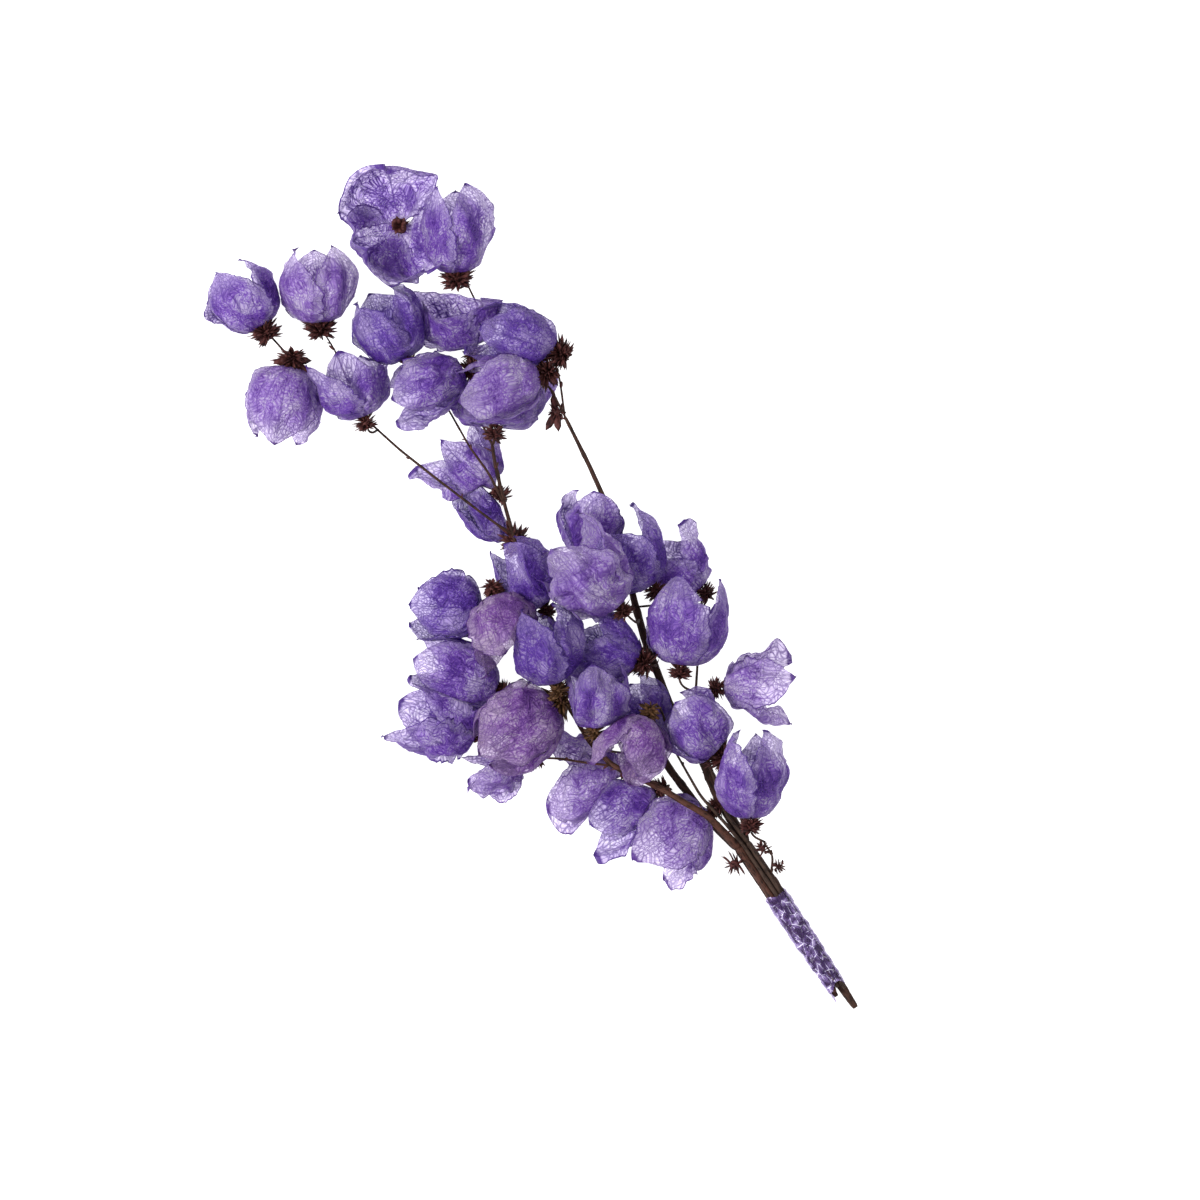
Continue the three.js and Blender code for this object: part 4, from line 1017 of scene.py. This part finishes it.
def bark_rod(mesh, points, start_radius, end_radius, random, sides, thinning=FORK_THINNING, cut_share=1.0):
    """A wrinkled round rod along a line that grows thinner along it, with rounded ends."""
    line = eased_line(points, STEM_STEP)
    count = len(line)
    ridges = [(2 + n, random() * PHASE_RANGE) for n in range(RIDGES)]
    knots = [random() * count for _ in range(max(1, count // KNOT_EVERY))]
    ahead = np.gradient(line, axis=0)
    ahead /= np.linalg.norm(ahead, axis=1, keepdims=True)
    across = np.cross(vector((0, 0, 1)), ahead[0])
    rings = []
    leaf = []
    for i in range(count):
        across = unit(across - ahead[i] * np.dot(across, ahead[i]))
        over = np.cross(ahead[i], across)
        share = i / (count - 1)
        radius = start_radius + (end_radius - start_radius) * share ** thinning
        radius *= 1 - (1 - cut_share) * math.exp(-i * STEM_STEP / CUT_END_REACH)
        swollen = sum(math.exp(-((i - knot) * STEM_STEP / KNOT_LENGTH) ** 2) for knot in knots)
        radius *= 1 + KNOT_SIZE * swollen
        if i == 0 or i == count - 1:
            radius *= ROD_END
        for j in range(sides):
            around = FULL_TURN * j / sides
            ridge = sum(math.sin(pitch * around + shift + i * RIDGE_TWIST) for pitch, shift in ridges)
            size = radius * (BARK_LEVEL + RIDGE_DEPTH * ridge + BARK_ROUGH * (random() - 0.5))
            rings.append(line[i] + (across * math.cos(around) + over * math.sin(around)) * size)
            leaf.append((around * radius, i * STEM_STEP, share))
    rings = np.array(rings)
    keep_above(rings, BARK_LOWEST)
    faces = [face[::-1] for face in grid_faces(count, sides, True)]
    faces.append(tuple(range(sides)))
    faces.append(tuple(reversed(range((count - 1) * sides, count * sides))))
    leaf = np.array(leaf)
    mesh.add(rings, faces, 0, leaf, leaf + random() * BARK_SHIFT)


def bark_scraps(mesh, points, radius, random):
    """Small dry stubs and bud scales that stand out here and there along a stem."""
    for start, end in zip(points[:-1], points[1:]):
        if random() < SCRAP_SHARE:
            ahead = unit(end - start)
            place = start + (end - start) * random()
            turn = random() * FULL_TURN
            across = unit(np.cross(ahead, vector((0, 0, 1))) + 1e-6)
            out = across * math.cos(turn) + np.cross(ahead, across) * math.sin(turn)
            lean = unit(ahead + out * between(random, *SCRAP_LEAN))
            over = unit(np.cross(np.cross(lean, out), lean) + 1e-6)
            length = radius + between(random, *SCRAP_LENGTH)
            add_scale(mesh, *blade(place, lean, over, length, *SCRAP_FORM), 1, 0)


def leafy_scales(mesh, tuft, random, slot):
    """Three broad dry leaf-like scales at the base of a tuft."""
    _, axis, side, up = tuft.axes
    for lean_deg, length in LEAFY_SCALES:
        lean = math.radians(lean_deg)
        ahead = unit(axis * math.cos(lean) + side * math.sin(lean) + up * LEAFY_RISE)
        over = unit(np.cross(np.cross(ahead, up), ahead))
        add_scale(mesh, *blade(tuft.centre + ahead, ahead, over, length, *LEAFY_FORM), slot, random())


def tuft_parts(mesh, tuft, number, slot):
    """A bristly tuft: a small core with many pointed scales on its sides and back."""
    random = random_stream(number * 433 + 19)
    limits = tuft_limits(tuft)
    _, axis, side, up = tuft.axes
    core = min(CORE_LARGEST, CORE_SHARE * tuft.reach)
    mesh.add(*ball(tuft.centre, (axis, side, up), (core * CORE_STRETCH, core, core)), slot)
    if number + 1 in LEAFY_TUFTS:
        leafy_scales(mesh, tuft, random, slot)
    count = TUFT_SCALES[tuft.size]
    for i in range(count):
        share = (i + 0.5) / count
        lean_deg = SCALE_FIRST_DEG + SCALE_SPAN_DEG * share + tuft.opening * SCALE_OPEN_SHARE
        polar = math.radians(min(lean_deg, SCALE_LAST_DEG) + between(random, *SCALE_SWAY_DEG))
        around = i * GOLDEN_ANGLE + between(random, *SCALE_SHIFT)
        out = side * math.cos(around) + up * math.sin(around)
        ahead = axis * math.cos(polar) + out * math.sin(polar)
        base = tuft.centre + ahead * SCALE_ROOT + axis * (SCALE_ROOT_FRONT - SCALE_ROOT_SPAN * share)
        stretch = LARGE_STRETCH if tuft.size == LARGE_TUFT and polar < LARGE_FRONT else 1.0
        tip = tuft.centre + ahead * tuft.reach * between(random, *SCALE_REACH) * stretch
        tip = press_inside(tip[None, :], limits, HARD_ZONE)[0]
        tip[2] = max(tip[2], SCALE_LOWEST)
        length = np.linalg.norm(tip - base)
        ahead = unit(tip - base)
        across = unit(np.cross(ahead, axis) + 1e-6)
        twist = between(random, *SCALE_TWIST)
        over = np.cross(across, ahead) * math.cos(twist) + across * math.sin(twist)
        width = SCALE_WIDTH * (1 + random() ** 2) * tuft.reach / SCALE_WIDTH_REACH
        made = blade(base, ahead, over, length, width, SCALE_THICKNESS, between(random, *SCALE_BEND))
        add_scale(mesh, *made, slot, random())


def stem_piece(key, materials):
    """One stem with its forks, its pedicels and its tufts."""
    stem = STEMS[key]
    name, slot_name = stem[:2]
    mesh = Mesh()
    random = random_stream(sum(ord(letter) for letter in name))
    woody = BARK_THICKEN if stem.radius > WIRY_RADIUS else 1.0
    stubs = [bundle_point(-STUB_STEP * (n + 0.5), stem.across, stem.height) for n in range(STUBS + 1)]
    for part, (points, start_radius, end_radius) in enumerate(LINES[key]):
        start_radius *= woody if part < 2 else FORK_THIN
        end_radius *= woody if part == 0 else FORK_THIN
        thinning = MAIN_THINNING if part == 1 else FORK_THINNING
        cut_share = CUT_END_SHARE if part == 0 and woody > 1 else 1.0
        bark_rod(mesh, points, start_radius, end_radius, random, STEM_SIDES, thinning, cut_share)
        if part > 0:
            bark_scraps(mesh, points, start_radius, random)
        elif woody > 1:
            bark_scraps(mesh, stubs, start_radius, random)
    for number, tuft in enumerate(TUFTS):
        if tuft.stem == key:
            bark_rod(mesh, tuft.line, PEDICEL_RADIUS, PEDICEL_RADIUS, random, PEDICEL_SIDES)
            tuft_parts(mesh, tuft, number, 2 if number + 1 in GOLDEN_TUFTS else 1)
    piece = mesh.build(f"{name}_bark", materials)
    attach(piece, "root")
    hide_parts(name)
    return piece


def film_ends(angle):
    """Where the film starts and ends along the bundle, at an angle round it."""
    start = FILM_START_WAVES[0] * math.sin(2 * angle) + FILM_START_WAVES[1] * math.sin(5 * angle)
    point = FILM_POINT * math.exp(-((angle - FILM_POINT_ANGLE) / FILM_POINT_SPREAD) ** 2)
    return start, BUNDLE_LENGTH + FILM_END_WAVE * math.sin(3 * angle + 1) + point


def film_point(along, angle, folded, wall):
    """A point on the inner (0) or outer (1) wall of the film, with its folds, laps and taper."""
    cosine, sine = math.cos(angle), math.sin(angle)
    square = (abs(cosine) ** FILM_SQUARENESS + abs(sine) ** FILM_SQUARENESS) ** (-1 / FILM_SQUARENESS)
    lap = FILM_LAP * ((along * FILM_TURNS_PER_MM + angle / FULL_TURN) % 1.0 < 0.5)
    taper = FILM_TAPER * max(0.0, along / BUNDLE_LENGTH - 0.5)
    grow = FILM_EASE + FILM_FOLD_DEPTH * folded + lap - taper + FILM_WALL * (wall - 0.5)
    across = FILM_CENTRE_ACROSS + cosine * square * (FILM_INNER_HALF_WIDTH + grow)
    height = FILM_CENTRE_HEIGHT + sine * square * (FILM_INNER_HALF_HEIGHT + grow)
    return bundle_point(along, across, max(height, FILM_LOWEST[wall]))


def seamless(field, along, across, girth):
    """A field that runs on without a seam where the film closes round the bundle."""
    blend = across / girth
    return field(along, across) * (1 - blend) + field(along, across - girth) * blend


def film_piece(material):
    """The binding: thin crumpled film wound round the stems, with a ragged lower end."""
    random = random_stream(77)
    broad = fold_field(random, *FILM_FOLDS)
    small = fold_field(random, *FILM_CREASES)
    girth = math.pi * (FILM_INNER_HALF_WIDTH + FILM_INNER_HALF_HEIGHT)
    walls = np.zeros((2, FILM_ROWS, FILM_SIDES, 3))
    leaf = np.zeros_like(walls)
    for c in range(FILM_SIDES):
        angle = FULL_TURN * c / FILM_SIDES
        across = girth * c / FILM_SIDES
        start, end = film_ends(angle)
        for r in range(FILM_ROWS):
            along = start + (end - start) * r / (FILM_ROWS - 1)
            folded = seamless(broad, along, across, girth)
            folded += FILM_CREASE_SHARE * seamless(small, along, across, girth)
            for wall in (0, 1):
                walls[wall, r, c] = film_point(along, angle, folded, wall)
                leaf[wall, r, c] = (along, across, 0.5 + FILM_FOLD_SHADE * folded)
    count = FILM_ROWS * FILM_SIDES
    faces = [face[::-1] for face in grid_faces(FILM_ROWS, FILM_SIDES, True)]
    outer = [tuple(index + count for index in face[::-1]) for face in faces]
    rims = []
    for r, flip in ((0, 1), (FILM_ROWS - 1, -1)):
        for c in range(FILM_SIDES):
            a = r * FILM_SIDES + c
            b = r * FILM_SIDES + (c + 1) % FILM_SIDES
            rims.append((a, b, b + count, a + count)[::flip])
    mesh = Mesh()
    mesh.add(walls, faces + outer + rims, 0, leaf)
    piece = mesh.build("binding_film_wound", [material])
    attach(piece, "root")
    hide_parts("binding_film")
    return piece


class Nodes:
    """A short way to write a node tree."""

    def __init__(self, name):
        self.material = bpy.data.materials.new(name)
        self.material.use_nodes = True
        self.tree = self.material.node_tree
        self.tree.nodes.clear()
        self.output = self.tree.nodes.new("ShaderNodeOutputMaterial")

    def node(self, kind, inputs=None, **settings):
        made = self.tree.nodes.new(kind)
        for key, value in settings.items():
            setattr(made, key, value)
        for key, value in (inputs or {}).items():
            if isinstance(value, bpy.types.NodeSocket):
                self.tree.links.new(value, made.inputs[key])
            else:
                made.inputs[key].default_value = value
        return made

    def math(self, operation, first, second=0.0, clamp=False):
        inputs = {0: first, 1: second}
        return self.node("ShaderNodeMath", inputs, operation=operation, use_clamp=clamp).outputs[0]

    def times(self, first, second):
        return self.math("MULTIPLY", first, second)

    def plus(self, first, second, clamp=False):
        return self.math("ADD", first, second, clamp)

    def larger(self, first, second):
        return self.math("MAXIMUM", first, second)

    def ramp(self, factor, stops):
        made = self.node("ShaderNodeValToRGB", {"Fac": factor})
        ramp = made.color_ramp
        while len(ramp.elements) < len(stops):
            ramp.elements.new(0.5)
        for element, (place, colour) in zip(ramp.elements, stops):
            element.position = place
            element.color = (*colour, 1)
        return made.outputs["Color"]

    def steps(self, factor, low, high):
        """A smooth step from 0 at low to 1 at high."""
        return self.node(
            "ShaderNodeMapRange", {"Value": factor, "From Min": low, "From Max": high},
            interpolation_type="SMOOTHSTEP",
        ).outputs["Result"]

    def lines(self, factor, width_from, width_to):
        """1 on the lines of a pattern, and 0 away from them."""
        return self.math("SUBTRACT", 1.0, self.steps(factor, width_from, width_to))

    def mix(self, factor, first, second):
        inputs = {0: factor}
        for key, colour in ((6, first), (7, second)):
            inputs[key] = (*colour, 1) if isinstance(colour, tuple) else colour
        return self.node("ShaderNodeMix", inputs, data_type="RGBA").outputs[2]

    def noise(self, place, scale, detail=3.0, flat=False, roughness=0.5):
        inputs = {"Vector": place, "Scale": scale, "Detail": detail, "Roughness": roughness}
        kind = "2D" if flat else "3D"
        return self.node("ShaderNodeTexNoise", inputs, noise_dimensions=kind).outputs["Fac"]

    def cells(self, place, scale):
        """A flat net of cells: 0 on the lines and more towards the middle of a cell."""
        inputs = {"Vector": place, "Scale": scale}
        settings = {"feature": "DISTANCE_TO_EDGE", "voronoi_dimensions": "2D"}
        return self.node("ShaderNodeTexVoronoi", inputs, **settings).outputs["Distance"]

    def attribute(self, name):
        return self.node("ShaderNodeAttribute", attribute_name=name).outputs["Vector"]

    def parts(self, values):
        return self.node("ShaderNodeSeparateXYZ", {0: values}).outputs

    def stretched(self, place, scale):
        return self.node("ShaderNodeMapping", {"Vector": place, "Scale": scale}).outputs[0]

    def bump(self, height, strength, distance):
        inputs = {"Height": height, "Strength": strength, "Distance": distance}
        return self.node("ShaderNodeBump", inputs).outputs[0]

    def surface(self, colour, roughness, shine, more):
        inputs = {"Base Color": colour, "Roughness": roughness, "Specular IOR Level": shine, **more}
        return self.node("ShaderNodeBsdfPrincipled", inputs).outputs[0]

    def clear(self, colour):
        return self.node("ShaderNodeBsdfTransparent", {"Color": (*colour, 1)}).outputs[0]

    def layered(self, cover, below, above):
        return self.node("ShaderNodeMixShader", {0: cover, 1: below, 2: above}).outputs[0]

    def finish(self, shader):
        self.tree.links.new(shader, self.output.inputs["Surface"])
        return self.material


def bract_material(name, deep, middle, pale):
    """Thin dry bract: net veins, blotches, pale rims, a painted highlight on the fold crests, and light that
    shows through.
    """
    n = Nodes(name)
    patch = n.attribute("patch")
    split = n.parts(n.attribute("leaf"))
    aside = n.math("ABSOLUTE", split[0])
    ahead = split[1]
    rim = n.larger(aside, ahead)
    painted_fold_light = n.parts(patch)[2]

    fine_net = n.lines(n.cells(patch, 0.80), 0.02, 0.22)
    crumple = n.cells(patch, 0.34)
    wide_net = n.lines(crumple, 0.0, 0.09)
    blotches = n.noise(patch, 0.11, 4.0, flat=True, roughness=0.52)
    grain = n.noise(patch, 1.3, 2.0, flat=True, roughness=0.7)
    slant = n.math("SUBTRACT", aside, n.times(ahead, 0.6))
    slant = n.plus(slant, n.times(blotches, 0.35))
    side_veins = n.lines(n.math("PINGPONG", slant, 0.11), 0.004, 0.024)
    midrib = n.lines(aside, 0.006, 0.026)
    veins = n.larger(n.larger(side_veins, midrib), n.times(wide_net, 0.8))
    net = n.larger(n.times(fine_net, 0.9), veins)

    tone = n.plus(n.times(blotches, 0.55), n.times(grain, 0.40))
    base = n.ramp(tone, [(0.36, pale), (0.47, middle), (0.60, deep)])
    edge = n.steps(rim, 0.66, 0.95)
    faded = n.mix(n.times(edge, 0.65), base, pale)
    # Painted highlight: the highest fold crests are painted paler, as if they caught the light.
    lit = n.mix(n.times(n.steps(painted_fold_light, 1.0, 1.6), 0.5), faded, pale)
    colour = n.mix(n.times(net, 0.85), lit, deep)
    outline = n.steps(rim, 0.955, 0.980)
    colour = n.mix(n.times(outline, 0.9), colour, deep)

    cover = n.plus(n.times(n.steps(tone, 0.38, 0.58), 0.24), 0.38)
    cover = n.plus(cover, n.times(net, 0.36))
    cover = n.math("SUBTRACT", cover, n.times(edge, 0.20))
    cover = n.plus(cover, n.times(outline, 0.5), clamp=True)

    bump = n.bump(n.plus(n.times(grain, 0.35), crumple), 0.7, 0.0010)
    paper = n.surface(colour, 0.50, 0.25, {"Normal": bump})
    glow = n.node("ShaderNodeBsdfTranslucent", {"Color": colour, "Normal": bump}).outputs[0]
    tint = tuple(0.75 + 0.25 * value for value in middle)
    return n.finish(n.layered(cover, n.clear(tint), n.layered(0.42, paper, glow)))


def dry_material(name, dark, light, grain_scale, roughness):
    """Dry bark or dried flower scales: streaks along the length and fine roughness."""
    n = Nodes(name)
    place = n.node("ShaderNodeTexCoord").outputs["Object"]
    streaks = n.noise(n.stretched(n.attribute("patch"), (2.2, 0.3, 3.0)), 1.0, 4.0)
    grain = n.noise(place, grain_scale, 5.0)
    tone = n.plus(n.times(streaks, 0.6), n.times(grain, 0.5))
    colour = n.ramp(tone, [(0.42, dark), (0.60, light), (0.80, dark)])
    return n.finish(n.surface(colour, roughness, 0.15, {"Normal": n.bump(grain, 0.8, 0.0004)}))


def film_material():
    """Thin shiny violet film, crumpled, with painted shade in its fold hollows and painted highlights on its
    crests, that lets the stems show through.
    """
    n = Nodes("film_violet_crumpled")
    leaf = n.attribute("leaf")
    painted_fold_light = n.parts(leaf)[2]
    facets = n.cells(n.stretched(leaf, (0.22, 0.50, 1.0)), 1.0)
    cloud = n.noise(leaf, 0.35, 4.0, flat=True, roughness=0.6)
    # Painted shade and highlight: on top of its own cloudy tone, the film is darker in its fold hollows and
    # paler on its crests.
    tone = n.plus(n.times(cloud, 0.8), n.times(painted_fold_light, 0.22))
    glints = n.times(n.lines(facets, 0.0, 0.05), n.steps(cloud, 0.38, 0.56))
    colour = n.mix(n.times(glints, 0.8), n.ramp(tone, FILM_COLOURS), FILM_GLINT)
    bump = n.bump(n.plus(facets, n.times(cloud, 0.8)), 0.5, 0.0006)
    gloss = n.surface(colour, 0.16, 0.55, {"Normal": bump})
    cover = n.plus(n.times(n.steps(tone, 0.42, 0.75), 0.40), 0.20)
    cover = n.plus(cover, n.times(glints, 0.5), clamp=True)
    return n.finish(n.layered(cover, n.clear(FILM_TINT), gloss))


def floor_material():
    """A white table that is softly lit from below, so that nothing on it throws a dark shadow."""
    n = Nodes("pale_floor")
    light = {"Emission Color": (1, 1, 1, 1), "Emission Strength": 1.0}
    return n.finish(n.surface((0.40, 0.40, 0.40, 1), 0.9, 0.1, light))


def make_floor():
    mesh = bpy.data.meshes.new("floor")
    corners = [(x * FLOOR_HALF, y * FLOOR_HALF, 0) for x, y in ((-1, -1), (1, -1), (1, 1), (-1, 1))]
    mesh.from_pydata(corners, [], [(0, 1, 2, 3)])
    mesh.materials.append(floor_material())
    floor = bpy.data.objects.new("floor", mesh)
    bpy.context.scene.collection.objects.link(floor)


def make_light(name, place, size, power):
    """A soft area light that faces the middle of the bunch."""
    lamp = bpy.data.lights.new(name, "AREA")
    lamp.shape = "SQUARE"
    lamp.size = size
    lamp.energy = power
    light = bpy.data.objects.new(name, lamp)
    light.location = place
    x, y, z = place
    light.rotation_euler = (math.atan2(math.hypot(x, y), z), 0, math.atan2(-y, -x) - math.pi / 2)
    bpy.context.scene.collection.objects.link(light)


def make_lights():
    world = bpy.data.worlds.new("soft_white")
    world.use_nodes = True
    background = world.node_tree.nodes["Background"]
    background.inputs["Color"].default_value = (1, 1, 1, 1)
    background.inputs["Strength"].default_value = SKY_STRENGTH
    bpy.context.scene.world = world
    for light in LIGHTS:
        make_light(*light)
    bpy.context.scene.view_settings.view_transform = "Standard"


def make_camera():
    """A long lens straight above, with the bunch lying from upper left to lower right."""
    turn = math.radians(BUNCH_TURN_DEG)
    place = to_frame(vector((*VIEW_PLACE, 0)))
    lens = bpy.data.cameras.new("camera")
    lens.sensor_width = SENSOR_WIDTH
    lens.lens = SENSOR_WIDTH * VIEW_HEIGHT / VIEW_WIDTH
    lens.clip_end = VIEW_END
    camera = bpy.data.objects.new("camera", lens)
    camera.location = (place[0], place[1], VIEW_HEIGHT * MM)
    camera.rotation_euler = (0, 0, turn)
    bpy.context.scene.collection.objects.link(camera)
    bpy.context.scene.camera = camera


def make_bunch():
    dry = {name: dry_material(name, *look) for name, look in DRY_LOOKS.items()}
    bracts = {name: bract_material(f"bract_{name}", *colours) for name, colours in BRACT_COLOURS.items()}
    for index, head in enumerate(HEADS):
        head_piece(index, [bracts[head.colour], dry["dried_scales"]])
    for key, stem in STEMS.items():
        stem_piece(key, [dry[stem.slot], dry["dried_scales"], dry["dried_scales_golden"]])
    film_piece(film_material())


make_camera()
make_floor()
make_lights()
make_bunch()
